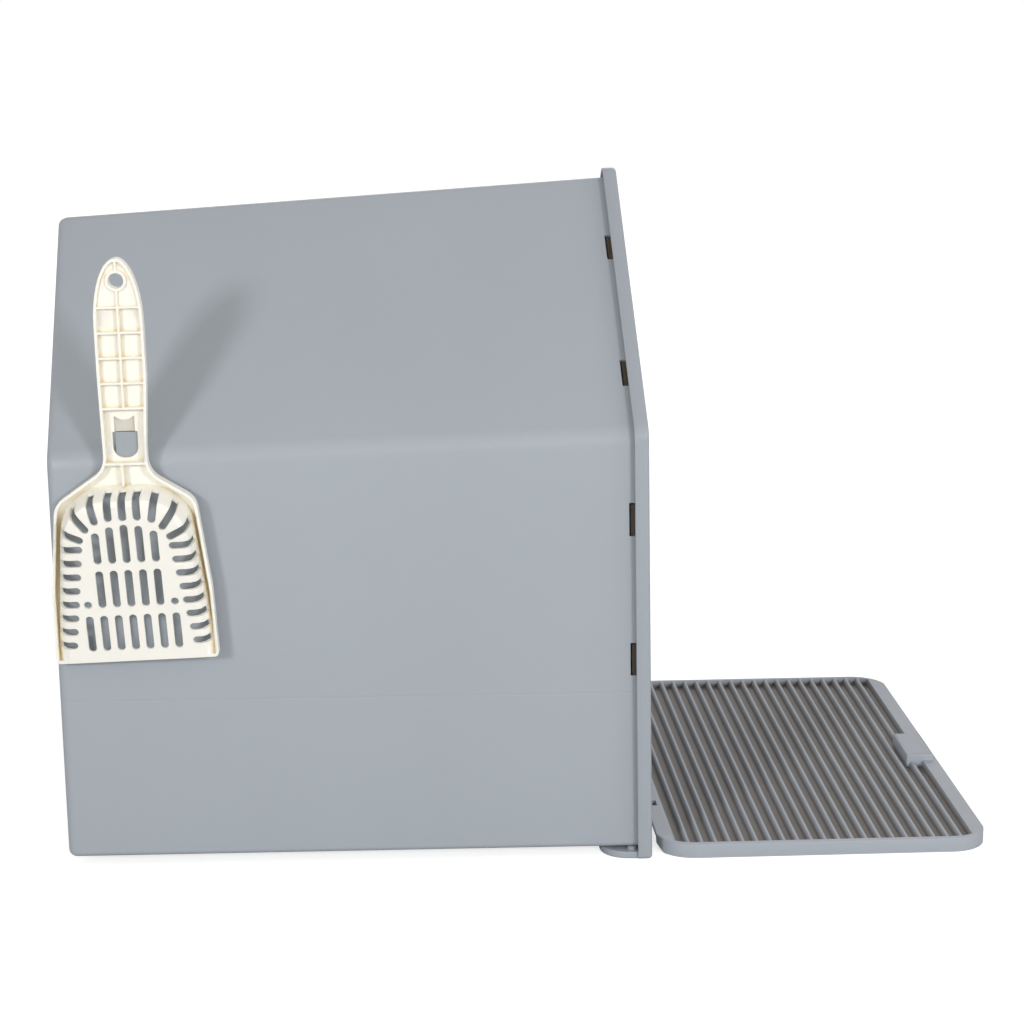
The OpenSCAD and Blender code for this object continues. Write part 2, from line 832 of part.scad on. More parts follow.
module step_mat() {
    color([0.6, 0.63, 0.67]) place() difference() {
        union() {
            difference() {
                linear_extrude(mat_t) mat_plan();
                translate([0, 0, groove_z]) linear_extrude(mat_t) intersection() {
                    translate([0, mat_side]) mat_plan();
                    translate([0, -mat_side]) mat_plan();
                    translate([ridge_start, -mat_w / 2])
                        square([mat_x1 - mat_border - ridge_start, mat_w]);
                }
            }
            mat_ridges();
            block([tab_x0, -tab_w / 2, groove_z - thin], [tab_x1, tab_w / 2, tab_top]);
        }
        mat_hollows();
        translate([mat_x0, 0, 0]) rotate([0, 45, 0])
            cube([mat_heel * sqrt(2), mat_w + cut, mat_heel * sqrt(2)], center = true);
        both_sides() {
            block(
                [mat_x0 - cut, ear_y - ear_w / 2 - ear_gap, -cut],
                [notch_x, ear_y + ear_w / 2 + ear_gap, mat_t + cut]
            );
            translate([hinge_x, ear_y + pin_l / 2, hinge_z]) rotate([90, 0, 0])
                cylinder(d = pin_d + 2 * pin_seat, h = pin_l);
            // Relief under the lip, between the hinge's heel and the corner
            block(
                [mat_x0 - cut, ear_y + pin_l / 2 + 2, -cut],
                [mat_x0 + lip_depth, mat_w / 2 - mat_round + 3, mat_t - lip_t]
            );
        }
    }
}

module hinge_pins() {
    color([0.75, 0.76, 0.78]) place() both_sides()
        translate([hinge_x, ear_y + pin_l / 2, hinge_z]) rotate([90, 0, 0]) cylinder(d = pin_d, h = pin_l);
}

// --- Scoop -------------------------------------------------------------------------------

// From the hanger's place on the wall, Y into the wall, turned as the scoop hangs
module at_hang() {
    translate([-hanger_x, -wall_half(hanger_x), 0]) rotate([0, 0, -scoop_yaw]) children();
}

// From the scoop's own plane, X across and Y up its length with Z away from the wall
module at_scoop() {
    at_hang() translate([hanger_x - scoop_x, -hanger_t - seat_gap, scoop_z])
        rotate([0, -scoop_tilt, 0]) rotate([90, 0, 0]) children();
}

// From the outside of the basket's sloping floor
module at_floor() {
    translate([0, 0, lip_d]) rotate([floor_slope, 0, 0]) children();
}

function basket_depth(v) = lip_d + (basket_d - lip_d) * v / basket_v;

// Half width of the scoop's head, which bulges a little between its lip and its shoulders
function scoop_half(v) =
    v < bulge_v
        ? scoop_w / 2 + (bulge_half - scoop_w / 2) * v / bulge_v
        : bulge_half + (shoulder_w / 2 - bulge_half) * (v - bulge_v) / (shoulder_v - bulge_v);

// The basket leans against the handle
module lean_in_plane() {
    translate([-basket_shift, 0, 0]) rotate([0, 0, basket_skew]) children();
}

// Outline of the scoop's head: a lip, slanted sides and shoulders that slope up to the neck
module head_shape() {
    low = scoop_w / 2;
    side = shoulder_w / 2;
    neck = neck_w / 2;
    top = shoulder_v + (side - neck) * tan(shoulder_slope);
    lean_in_plane() polygon(rounded(
        [
            [-low, 0], [low, 0], [bulge_half, bulge_v], [side, shoulder_v],
            [neck, top], [-neck, top], [-side, shoulder_v], [-bulge_half, bulge_v]
        ],
        [3, 3, bulge_r, shoulder_r, 1, 1, shoulder_r, bulge_r]
    ));
}

// Plan of the basket, open at the lip, moved inwards by d at its sides and top
module basket_plan(d, reach = 0) {
    low = 20;
    spread = (basket_w - basket_top_w) / 2 * low / basket_v;
    intersection() {
        offset(delta = -d) polygon(rounded(
            [
                [-basket_w / 2 - spread, -low], [basket_w / 2 + spread, -low],
                [basket_top_w / 2, basket_v], [-basket_top_w / 2, basket_v]
            ],
            [1, 1, basket_r, basket_r]
        ));
        translate([-scoop_w, -reach]) square([2 * scoop_w, scoop_l]);
    }
}

module handle_shape() {
    end_r = handle_w / 2;
    end_l = scoop_l - handle_end_v;
    hull() {
        translate([-basket_shift, neck_v]) square([neck_w, thin], center = true);
        translate([0, handle_end_v - handle_side / 2]) square([handle_w, handle_side], center = true);
        translate([0, handle_end_v]) scale([1, end_l / end_r]) circle(r = end_r, $fn = 40);
    }
    translate([-basket_shift - neck_w / 2, shoulder_v]) square([neck_w, neck_v - shoulder_v + thin]);
}

// The whole outline, with hollow fillets where the neck meets the shoulders
module scoop_shape() {
    offset(r = -neck_fillet) offset(delta = neck_fillet) {
        head_shape();
        handle_shape();
    }
}

// Opening of the hook: a round-bottomed window whose narrower head hangs down in an arc
module clip_opening() {
    half = clip_w / 2;
    crown = half - rib_t;
    r = min(clip_round, half - thin);
    translate([-basket_shift, 0]) difference() {
        union() {
            hull() {
                for (side = [-1, 1]) translate([side * (half - r), clip_low + r]) circle(r = r);
                translate([-half, clip_shoulder - cut]) square([2 * half, cut]);
            }
            translate([-crown, clip_shoulder - cut]) square([2 * crown, clip_top - clip_shoulder + cut]);
        }
        translate([0, clip_top + clip_arc - clip_sag]) circle(r = clip_arc);
    }
}

// A slot with round ends from its middle, through the floor
module floor_slot(l) {
    translate([0, 0, -2 * scoop_t]) linear_extrude(4 * scoop_t) {
        square([slot_w, l - slot_w], center = true);
        for (side = [-1, 1]) translate([0, side * (l - slot_w) / 2]) circle(d = slot_w, $fn = 24);
    }
}

// A slot from a round inner end at the origin outwards along Y, through the floor and up the wall
module wall_slot(l, rise) {
    translate([0, 0, -rise]) linear_extrude(rise + 2 * cut) {
        translate([-slot_w / 2, slot_w / 2]) square([slot_w, l - slot_w / 2]);
        translate([0, slot_w / 2]) circle(d = slot_w, $fn = 24);
    }
}

// Rows of straight slots in the basket's floor, and a round hole at each side
module floor_slots() {
    for (row = [0 : 2], i = [0 : row_counts[row] - 1]) {
        k = i - (row_counts[row] - 1) / 2;
        arch = row == 2 ? row_arch : 0;
        l = row_l + row * row_growth - arch * k * k;
        translate([k * slot_pitch, row_start + row * row_pitch + l / 2, 0]) floor_slot(l);
    }
    for (side = [-1, 1])
        translate([side * 3 * slot_pitch, hole_v, -2 * scoop_t])
            cylinder(d = slot_w, h = 4 * scoop_t, $fn = 24);
}

// Slots round the wall: up both sides, fanned at the upper corners and across the top
module wall_slots() {
    for (side = [-1, 1]) {
        for (i = [0 : 7]) {
            v = side_start + i * side_pitch;
            inner = side_inner - side_taper * (v - side_start);
            translate([side * inner, v, 0]) rotate([0, 0, -side * 90])
                wall_slot(scoop_half(v) - scoop_t - seat_gap - inner, slot_rise * basket_depth(v));
        }
        for (i = [0 : 3])
            translate([side * fan_u[i], fan_v[i], 0]) rotate([0, 0, -side * fan_angle[i]])
                wall_slot(fan_l[i], slot_rise * basket_depth(fan_v[i]));
    }
    translate([0, fan_v[0], 0]) wall_slot(fan_l[0], slot_rise * basket_depth(fan_v[0]));
}

// The basket as a solid, moved inwards by d
module basket_block(d, reach) {
    hull() {
        translate([0, 0, -reach]) linear_extrude(thin) basket_plan(d, reach);
        for (angle = [0, 45, 90])
            at_floor() translate([0, 0, -d - thin - floor_round * (1 - sin(angle))]) linear_extrude(thin)
                basket_plan(d + basket_lean + floor_round * (1 - cos(angle)), reach);
    }
}

// Points round the handle's end above a height, along the middle of its rim
function tip_arc(v) =
    let (across = (handle_w - scoop_t) / 2, along = scoop_l - handle_end_v - scoop_t / 2)
    let (from = asin(max(v - handle_end_v, 0) / along))
    [for (i = [0 : tip_steps])
        let (angle = from + (180 - 2 * from) * i / tip_steps)
        [across * cos(angle), handle_end_v + along * sin(angle)]];

// The handle between its rims, from a height up to its end
module handle_fill(v) {
    across = (handle_w - scoop_t) / 2;
    neck = (neck_w - scoop_t) / 2;
    side_v = handle_end_v - handle_side;
    foot = [[-across, side_v], [-neck - basket_shift, v], [neck, v], [across, side_v]];
    polygon(v < side_v ? concat(foot, tip_arc(v)) : tip_arc(v));
}

module handle_ribs() {
    collar_v = neck_v - collar_drop;
    for (i = [0 : rung_count - 1])
        translate([-handle_w / 2, neck_v + rung_first + i * rung_pitch - rib_t / 2]) square([handle_w, rib_t]);
    translate([-neck_w / 2, collar_v - rib_t / 2]) square([neck_w, rib_t]);
    translate([-rib_t / 2, neck_v + rung_first]) square([rib_t, scoop_l - neck_v - rung_first]);
    lean_in_plane() translate([-rib_t / 2, basket_v]) square([rib_t, collar_v - basket_v]);
}

module scoop() {
    color([0.965, 0.955, 0.905]) place() at_scoop() {
        difference() {
            union() {
                linear_extrude(scoop_t) difference() {
                    scoop_shape();
                    clip_opening();
                }
                linear_extrude(handle_floor) handle_fill(neck_v + rung_first);
                linear_extrude(handle_h - tip_drop) handle_fill(tip_v);
                linear_extrude(handle_h) {
                    difference() {
                        scoop_shape();
                        offset(r = -scoop_t) scoop_shape();
                    }
                    intersection() {
                        scoop_shape();
                        union() {
                            handle_ribs();
                            translate([0, scoop_l - hang_drop]) circle(d = hang_d + 2 * scoop_t);
                        }
                    }
                }
                lean_in_plane() basket_block(0, 0);
            }
            lean_in_plane() {
                basket_block(scoop_t, cut);
                at_floor() {
                    floor_slots();
                    wall_slots();
                }
            }
            translate([0, scoop_l - hang_drop, -cut]) cylinder(d = hang_d, h = handle_h + 2 * cut);
        }
        // Hook behind the opening: a bridge over the hanger's top and a tongue behind it
        translate([-tongue_w / 2, clip_shoulder, -hanger_t - seat_gap - hook_gap - tongue_t])
            cube([tongue_w, clip_top - clip_shoulder + 2, hanger_t + seat_gap + hook_gap + tongue_t + thin]);
        translate([-tongue_w / 2, clip_shoulder - tongue_drop, -hanger_t - seat_gap - hook_gap - tongue_t])
            cube([tongue_w, tongue_drop + thin, tongue_t]);
    }
}

// --- Scoop hanger ------------------------------------------------------------------------

module at_studs() {
    for (z = [hanger_low + 7, hanger_low + 17])
        translate([-hanger_x, -wall_half(hanger_x), z]) rotate([-90, 0, 0]) children();
}

module scoop_hanger() {
    color([0.635, 0.67, 0.7]) place() {
        difference() {
            at_hang() {
                block([-hanger_w / 2, -hanger_t, hanger_low], [hanger_w / 2, 0, hanger_top]);
                block([-hanger_w / 2, -hanger_t, hanger_low], [hanger_w / 2, 1, rear_eave - eave_round]);
            }
            shell_outer();
        }
        at_studs() translate([0, 0, -hanger_t / 2]) cylinder(d = stud_d, h = hanger_t / 2 + shell_wall);
    }
}

body_shell();
front_panel();
rear_feet();
scoop_hanger();
litter_tray();
drawer_front();
step_mat();
hinge_pins();
scoop();
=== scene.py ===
"""Looks of an enclosed litter box with a drawer, a step mat and a scoop.

Sizes are held as properties in metres. X runs out of the entry, Z up, and the scoop hangs on the -Y side.
Shapes are worked out from the panel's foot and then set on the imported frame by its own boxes.
"""

import math

import bmesh
import bpy
import numpy as np
from mathutils import Matrix, Vector
from mathutils.geometry import tessellate_polygon


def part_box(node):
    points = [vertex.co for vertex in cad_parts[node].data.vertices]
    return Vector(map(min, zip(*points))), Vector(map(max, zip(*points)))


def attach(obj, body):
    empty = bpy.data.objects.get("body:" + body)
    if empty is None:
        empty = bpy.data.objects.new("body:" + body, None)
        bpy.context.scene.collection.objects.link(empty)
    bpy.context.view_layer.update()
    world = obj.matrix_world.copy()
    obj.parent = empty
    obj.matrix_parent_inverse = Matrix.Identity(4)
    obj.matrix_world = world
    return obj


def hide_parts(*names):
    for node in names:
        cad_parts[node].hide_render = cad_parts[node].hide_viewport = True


bl_info = {
    "name": "Enclosed Litter Box",
    "version": (1, 0, 0),
    "blender": (4, 5, 0),
    "location": "3D View > Sidebar > Litter Box",
    "description": "Builds the shell, panel, drawer, mat and scoop of an enclosed litter box",
    "category": "Add Mesh",
}

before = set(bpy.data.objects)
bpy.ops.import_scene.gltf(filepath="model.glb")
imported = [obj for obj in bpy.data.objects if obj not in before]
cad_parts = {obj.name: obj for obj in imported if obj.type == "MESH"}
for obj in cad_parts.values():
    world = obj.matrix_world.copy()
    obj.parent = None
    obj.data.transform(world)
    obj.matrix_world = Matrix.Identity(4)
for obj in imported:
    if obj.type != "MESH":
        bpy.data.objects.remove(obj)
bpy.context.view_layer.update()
PANEL_LOW, PANEL_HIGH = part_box("front_panel")
FOOT = np.array([PANEL_HIGH.x, (PANEL_LOW.y + PANEL_HIGH.y) / 2, 0.0])
LEAN = math.radians(1.2)
REAR_LEAN = math.radians(1.05)

# Steps of each arc in the shell's outline, and the shell's row of faces that holds the windows
ARC_STEPS = 10
WINDOW_ROW = 1
# Gaps between the shell and the panel, and between the shell and the spigot inside it
SEAT = 0.0003
SPIGOT_GAP = 0.00068
# Size of a small bevel, and of one at a ridge's foot and crest
EASE = 0.0006
RIDGE_EASE = 0.0004
# Widths on the mat's grid of a hollow's steep wall, and of the drop from the border to the grooves
STEEP = 0.0003
FIELD_EDGE = 0.0005
# Distances from the mat's edge at which its rounding has points
MAT_EDGE = np.array([0.0, 0.0001, 0.0004, 0.001])
# A distance that counts as none
HAIR = 1e-5


# --- Properties --------------------------------------------------------------------------


def size(name, description, millimetres):
    """A length property whose default is given in millimetres."""
    return bpy.props.FloatProperty(
        name=name, description=description, default=millimetres / 1000, min=0.0, unit="LENGTH", precision=4
    )


def tone(name, description, red, green, blue):
    """A colour property whose default is given in display values from 0 to 255."""
    shown = np.array([red, green, blue]) / 255
    linear = np.where(shown <= 0.04045, shown / 12.92, ((shown + 0.055) / 1.055) ** 2.4)
    return bpy.props.FloatVectorProperty(
        name=name, description=description, default=linear.tolist(), min=0.0, max=1.0, subtype="COLOR"
    )


class ShellSizes(bpy.types.PropertyGroup):
    """Sizes of the body shell, which narrows and drops to the rear"""

    depth: size("Depth", "From the panel's front to the rear wall", 417)
    wall: size("Wall", "Thickness of the wall", 2.5)
    ground: size("Ground gap", "Height of the shell's underside above the floor", 7.5)
    mouth_half: size("Mouth half width", "Half of the width behind the panel", 194)
    taper: size("Taper", "How much narrower each side is at the rear", 5.5)
    rear_eave: size("Rear eave", "Height at which the roof begins at the rear", 298)
    rear_ridge: size("Rear ridge", "Height of the sharp ridge at the rear", 442)
    foot_round: size("Foot round", "Radius along the lower edges", 4)
    eave_round: size("Eave round", "Radius of the bend between wall and roof", 18)
    ridge_round: size("Ridge round", "Radius along the ridge", 8)
    rear_round: size("Rear round", "Radius round the rear wall", 6)
    ledge_height: size("Ledge height", "Height of the ledges inside", 122.5)
    ledge_inner: size("Ledge edge", "Distance of a ledge's edge from the middle plane", 176.5)
    ledge_thickness: size("Ledge thickness", "Thickness of a ledge", 2.5)
    bar_front: size("Ledge front", "Distance of the ledges and runners behind the panel's front", 22)
    runner_inner: size("Runner inner side", "Distance of a runner's inner side from the middle plane", 117)
    runner_outer: size("Runner outer side", "Distance of a runner's outer side from the middle plane", 123)
    runner_low: size("Runner foot", "Height of the runners' undersides", 9.5)
    runner_height: size("Runner height", "How far the runners stand up", 2)
    foot_inset: size("Foot inset", "Distance of a rear foot's middle from the rear wall", 34)
    foot_side: size("Foot place", "Distance of a rear foot from the middle plane", 150)
    window_front: size("Window front", "Distance of the snap windows behind the panel's front", 6)
    window_width: size("Window width", "Width of a snap window along the shell", 8)
    window_length: size("Window length", "Length of a snap window along the outline", 24)
    wall_snap_low: size("Lower wall window", "Height of its middle", 148.5)
    wall_snap_high: size("Upper wall window", "Height of its middle", 250.5)
    roof_snap_low: size("Lower roof window", "Distance of its middle up the roof", 55.5)
    roof_snap_high: size("Upper roof window", "Distance of its middle up the roof", 176)


class PanelSizes(bpy.types.PropertyGroup):
    """Sizes of the front panel and its openings"""

    half: size("Half width", "Half of the panel's width", 200)
    eave: size("Eave", "Height at which the panel's roof line begins", 315)
    ridge: size("Ridge", "Height of the panel's sharp peak", 478)
    thickness: size("Thickness", "Thickness of the face", 3)
    rim_depth: size("Rim depth", "How far the rim reaches back", 10.3)
    rim_wall: size("Rim wall", "Thickness of the rim", 2.5)
    rim_round: size("Rim round", "Radius of the rim's front edge", 2.6)
    eave_round: size("Eave round", "Radius at the eaves", 16)
    ridge_round: size("Ridge round", "Radius at the peak", 11)
    foot_round: size("Foot round", "Radius at the lower corners", 3)
    inset: size("Shell inset", "How far the shell stands inside the panel's outline", 6)
    spigot_depth: size("Spigot depth", "How far the spigot reaches back", 9.8)
    spigot_wall: size("Spigot wall", "Thickness of the spigot", 2)
    entry_half: size("Entry half width", "Half of the entry's width", 110)
    entry_spring: size("Entry spring", "Height at which the entry's arch begins", 314)
    entry_sill: size("Entry sill", "Height of the entry's lower edge", 217.0)
    entry_corner: size("Entry corner", "Radius of the entry's lower corners", 16)
    lip_depth: size("Lip depth", "How far the entry's lip reaches behind the face", 9)
    lip_wall: size("Lip wall", "Thickness of the entry's lip", 2.2)
    opening_half: size("Drawer opening half width", "Half of the drawer opening's width", 184)
    opening_low: size("Drawer opening bottom", "Height of the opening's lower edge", 10)
    opening_top: size("Drawer opening top", "Height of the opening's upper edge", 122)
    foot_plate: size("Foot plate", "How far the foot plate reaches back", 36)
    foot_plate_height: size("Foot plate height", "Thickness of the foot plate", 5)
    foot_plate_round: size("Foot plate round", "Radius of the foot plate's rear corners", 20)


class DrawerSizes(bpy.types.PropertyGroup):
    """Sizes of the litter tray"""

    tray_floor: size("Tray floor", "Height of the tray's underside", 11.8)
    tray_top: size("Tray top", "Height of the tray's rim", 118.5)
    tray_front: size("Tray front", "Distance of the tray's front behind the panel's front", 26)
    tray_half_low: size("Tray half width below", "Half of the tray's width at its floor", 166)
    tray_half_high: size("Tray half width above", "Half of the tray's width under its rim", 172)
    rim_half: size("Rim half width", "Half of the rim's width", 181)
    rim_rear: size("Rim rear", "Distance of the rim's rear from the panel's front", 409.5)
    tray_wall: size("Tray wall", "Thickness of the tray's wall", 2.5)
    rim_height: size("Rim height", "Thickness of the tray's rim", 3)
    tray_round: size("Tray round", "Radius of the tray's corners in plan", 34)
    front_draft: size("Front draft", "How far the tray's front leans back at its floor", 3)
    floor_round: size("Floor round", "Radius of the bend between wall and floor", 4)
    tongue_front: size("Tongue front", "Distance of the rim's front tongue behind the panel's front", 5.7)
    tongue_half: size("Tongue half width", "Half of the front tongue's width", 102)


class MatSizes(bpy.types.PropertyGroup):
    """Sizes of the step mat and its hinge"""

    near: size("Near edge", "Distance of the mat's hinged edge in front of the panel", 5.2)
    far: size("Far edge", "Distance of the mat's far edge in front of the panel", 247.2)
    half: size("Half width", "Half of the mat's width", 200)
    height: size("Height", "Height of the mat's border", 10.5)
    corner: size("Corner", "Radius of the mat's corners in plan", 27)
    border: size("Border", "Width of the plain border", 12)
    side_border: size("Side border", "Width of the plain border along the two sides", 5)
    first_ridge: size("First ridge", "Place of the first ridge in front of the panel", 16.7)
    ridge_pitch: size("Ridge pitch", "Distance between two ridges", 10)
    ridge_foot: size("Ridge foot", "Width of a ridge at its foot", 5.6)
    ridge_crest: size("Ridge crest", "Width of a ridge at its crest", 2)
    crest: size("Crest height", "Height of the ridges' crests", 10)
    groove: size("Groove height", "Height of the grooves' floors", 5)
    hollow: size("Hollow height", "Height of the hollows under the mat", 2)
    rib: size("Rib width", "Width of the ribs between the hollows", 4)
    notch: size("Notch end", "Distance of the ear notches' ends in front of the panel", 13.8)
    ear_place: size("Ear place", "Distance of a hinge ear from the middle plane", 110)
    ear_half: size("Notch half width", "Half of an ear notch's width", 5.6)
    heel: size("Heel", "Size of the bevel under the hinged edge", 4.4)
    lip_reach: size("Lip reach", "Depth of the relief under the lip at the hinged edge", 6)
    lip_wall: size("Lip wall", "Thickness of the lip over the relief", 2)
    lip_inner: size("Lip inner end", "Distance of the relief's inner end from the middle plane", 128)
    lip_outer: size("Lip outer end", "Distance of the relief's outer end from the middle plane", 176)
    hinge_reach: size("Hinge place", "Distance of the hinge's axis in front of the panel", 9)
    hinge_height: size("Hinge height", "Height of the hinge's axis", 4.5)
    pin_radius: size("Pin radius", "Radius of a hinge pin", 2)
    pin_half: size("Pin half length", "Half of a hinge pin's length", 16)
    tab_near: size("Tab near", "Distance of the tab's near edge in front of the panel", 222.5)
    tab_far: size("Tab far", "Distance of the tab's far edge in front of the panel", 243.7)
    tab_half: size("Tab half width", "Half of the tab's width", 26.5)
    tab_top: size("Tab top", "Height of the tab", 15.5)


class Colours(bpy.types.PropertyGroup):
    """Colours of the plastics, and the painted shade on the mat's grooves, the scoop's corners and the
    catches
    """

    shell: tone("Shell", "Body shell", 166, 173, 180)
    panel: tone("Panel", "Front panel and drawer front", 160, 167, 174)
    tray: tone("Tray", "Litter tray", 148, 156, 164)
    mat: tone("Mat", "Step mat", 166, 172, 180)
    # Painted shade: the grooves' floors get this darker, warmer colour for the shade that falls in them.
    mat_groove_shade: tone("Mat grooves", "Floors of the mat's grooves", 122, 116, 112)
    scoop: tone("Scoop", "Scoop", 252, 249, 239)
    # Painted shade: ambient occlusion tints the scoop's corners and recesses towards this colour.
    scoop_corner_shade: tone("Scoop corner shade", "Painted shade in the scoop's corners and recesses", 240, 222, 178)
    rubber: tone("Rubber", "Rear feet", 52, 52, 54)
    # Painted shade: the catches are coloured dark brown for the shade inside the shell's windows.
    catch_shade: tone("Catch shade", "Snap catches in the shell's windows", 78, 67, 55)
    steel: tone("Steel", "Hinge pins", 196, 198, 202)


class BoxSettings(bpy.types.PropertyGroup):
    """Everything that a user would change"""

    shell: bpy.props.PointerProperty(type=ShellSizes)
    panel: bpy.props.PointerProperty(type=PanelSizes)
    drawer: bpy.props.PointerProperty(type=DrawerSizes)
    mat: bpy.props.PointerProperty(type=MatSizes)
    colours: bpy.props.PointerProperty(type=Colours)


# --- Outlines ----------------------------------------------------------------------------


def rounded_outline(corners, radii, steps=8):
    """Closed outline whose corners are arcs.

    Each corner's arc touches both of its sides: its middle lies on the corner's bisector, radius over
    the sine of half the angle away, and it runs from one touching point to the other in equal turns.
    """
    corners = np.asarray(corners, float)
    radii = np.maximum(np.asarray(radii, float), 1e-5)[:, None]
    back = np.roll(corners, 1, 0) - corners
    ahead = np.roll(corners, -1, 0) - corners
    back /= np.linalg.norm(back, axis=1, keepdims=True)
    ahead /= np.linalg.norm(ahead, axis=1, keepdims=True)
    half = np.arccos(np.clip((back * ahead).sum(1, keepdims=True), -1, 1)) / 2
    bisector = back + ahead
    bisector /= np.linalg.norm(bisector, axis=1, keepdims=True)
    middle = corners + bisector * radii / np.sin(half)
    start = corners + back * radii / np.tan(half) - middle
    finish = corners + ahead * radii / np.tan(half) - middle
    first = np.arctan2(start[:, 1], start[:, 0])
    turn = (np.arctan2(finish[:, 1], finish[:, 0]) - first + 3 * np.pi) % (2 * np.pi) - np.pi
    angles = first[:, None] + turn[:, None] * np.linspace(0, 1, steps + 1)
    arcs = middle[:, None, :] + radii[:, :, None] * np.stack([np.cos(angles), np.sin(angles)], -1)
    return arcs.reshape(-1, 2)


def inset_house(section, inset):
    """A house section (half width, base, eave, ridge) moved inwards on every side."""
    half, base, eave, ridge = section
    slope = (ridge - eave) / half
    peak = ridge - inset * math.sqrt(1 + slope * slope)
    return half - inset, base + inset, peak - slope * (half - inset), peak


def house_outline(section, radii, inset=0.0, steps=8):
    """Outline of a house section in Y and Z, from the foot at -Y round by +Y and the ridge."""
    half, base, eave, ridge = inset_house(section, inset)
    foot, bend, top = [max(r - inset, 0.0004) for r in radii]
    return rounded_outline(
        [[-half, base], [half, base], [half, eave], [0, ridge], [-half, eave]],
        [foot, foot, bend, top, bend],
        steps,
    )


def offset_outline(points, distance):
    """A closed outline moved to its left side: each point goes along the mean of its two edges' normals."""
    edge = np.roll(points, -1, 0) - points
    edge = edge / np.maximum(np.linalg.norm(edge, axis=1, keepdims=True), 1e-12)
    normal = np.stack([-edge[:, 1], edge[:, 0]], -1)
    mean = normal + np.roll(normal, 1, 0)
    mean /= np.maximum((mean * mean).sum(1, keepdims=True), 1e-9) / 2
    return points + distance * mean


def quarter(radius, steps=4):
    """Insets and depths of a rounded edge: a quarter circle from the face to the side."""
    angle = np.linspace(0, np.pi / 2, steps + 1)
    return np.stack([radius * (1 - np.sin(angle)), radius * (1 - np.cos(angle))], -1)


# --- Meshes ------------------------------------------------------------------------------


def walled(outer, inner, keep=None, wrap=False):
    """Points and quads of a sheet between two grids of the same shape.

    Both grids get the faces that keep names, and a wall closes every border of the kept area, so a
    window in the grid becomes a hole through the sheet. With wrap the first axis joins its own end.
    """
    rows, columns = outer.shape[:2]
    index = np.arange(rows * columns).reshape(rows, columns)
    if wrap:
        index = np.vstack([index, index[:1]])
    keep = np.ones((len(index) - 1, columns - 1), bool) if keep is None else keep
    quads = np.stack([index[:-1, :-1], index[1:, :-1], index[1:, 1:], index[:-1, 1:]], -1)[keep]
    before = np.roll(keep, 1, 0)
    if not wrap:
        before[0] = False
    along = keep ^ before
    first = np.stack([index[:-1, :-1], index[:-1, 1:]], -1)[along]
    last = np.zeros((0, 2), int)
    if not wrap:
        last = np.stack([index[-1, :-1], index[-1, 1:]], -1)[keep[-1]]
    closed = np.pad(keep, ((0, 0), (1, 1)))
    across = closed[:, 1:] ^ closed[:, :-1]
    second = np.stack([index[:-1], index[1:]], -1)[across]
    edges = np.vstack([first, last, second])
    total = rows * columns
    walls = np.hstack([edges, edges[:, ::-1] + total])
    points = np.vstack([outer.reshape(-1, 3), inner.reshape(-1, 3)])
    return points, [quads, quads[:, ::-1] + total, walls]


def tube(rows):
    """Points and faces of closed loops joined one after another, with flat fans at the two ends."""
    count, around = rows.shape[:2]
    index = np.arange(count * around).reshape(count, around)
    turned = np.roll(index, -1, 1)
    sides = np.stack([index[:-1], turned[:-1], turned[1:], index[1:]], -1).reshape(-1, 4)
    return rows.reshape(-1, 3), [sides, index[:1, ::-1], index[-1:]]


def plate(loops, profiles, place):
    """Points and faces of a flat piece with openings and shaped edges.

    loops are outlines with the solid on their left, the outer one first. Each has a profile of insets
    and depths from the front face to the back face: the outline moved inwards by each inset, at each
    depth. Both faces are filled between the loops' first and last rows. place turns outline and depth
    into space.
    """
    points, faces, front, back, start = [], [], [], [], 0
    for loop, profile in zip(loops, profiles):
        rows = np.stack([place(offset_outline(loop, inset), depth) for inset, depth in profile])
        count, around = rows.shape[:2]
        index = start + np.arange(count * around).reshape(count, around)
        turned = np.roll(index, -1, 1)
        faces.append(np.stack([index[:-1], turned[:-1], turned[1:], index[1:]], -1).reshape(-1, 4))
        points.append(rows.reshape(-1, 3))
        front.append((offset_outline(loop, profile[0][0]), index[0]))
        back.append((offset_outline(loop, profile[-1][0]), index[-1]))
        start += count * around
    for rings, flip in ((front, 1), (back, -1)):
        numbers = np.concatenate([index for _, index in rings])
        filled = tessellate_polygon([[Vector((p[0], p[1], 0)) for p in outline] for outline, _ in rings])
        faces.append(numbers[np.array(filled)][:, ::flip])
    return np.vstack(points), faces


def lathe(profile, middle, axis, steps=48):
    """Points and faces of a turned piece: radii and heights carried round an axis through middle."""
    profile = np.asarray(profile, float)
    angle = np.linspace(0, 2 * np.pi, steps, endpoint=False)
    third = np.eye(3)[axis]
    one, two = np.eye(3)[(axis + 1) % 3], np.eye(3)[(axis + 2) % 3]
    ring = np.cos(angle)[:, None] * one + np.sin(angle)[:, None] * two
    rows = profile[:, 0, None, None] * ring + profile[:, 1, None, None] * third + np.asarray(middle, float)
    return tube(rows)


def stand(points):
    """Leans upright points back with the panel, about its foot."""
    x, y, z = points[..., 0], points[..., 1], points[..., 2]
    return np.stack([x * math.cos(LEAN) - z * math.sin(LEAN), y, x * math.sin(LEAN) + z * math.cos(LEAN)], -1)


def upright(outline, depth):
    """An outline in Y and Z at a depth behind the panel's front, leaning with the panel."""
    flat = np.stack([np.full(len(outline), -depth), outline[:, 0], outline[:, 1]], -1)
    return stand(flat)


def level(loop, height):
    """An outline in plan at a height."""
    return np.column_stack([loop, np.full(len(loop), height)])


def add_object(name, data):
    """An object in the scene's own collection."""
    item = bpy.data.objects.new(name, data)
    bpy.context.scene.collection.objects.link(item)
    return item


def settle(name, mesh, smooth, body, material, replaces):
    """Makes a mesh a piece that rides on a body, smooth up to an angle in degrees."""
    mesh.shade_smooth()
    mesh.set_sharp_from_angle(angle=math.radians(smooth))
    mesh.update()
    piece = add_object(name, mesh)
    mesh.materials.append(material)
    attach(piece, body)
    if replaces:
        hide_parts(*replaces)
    return piece


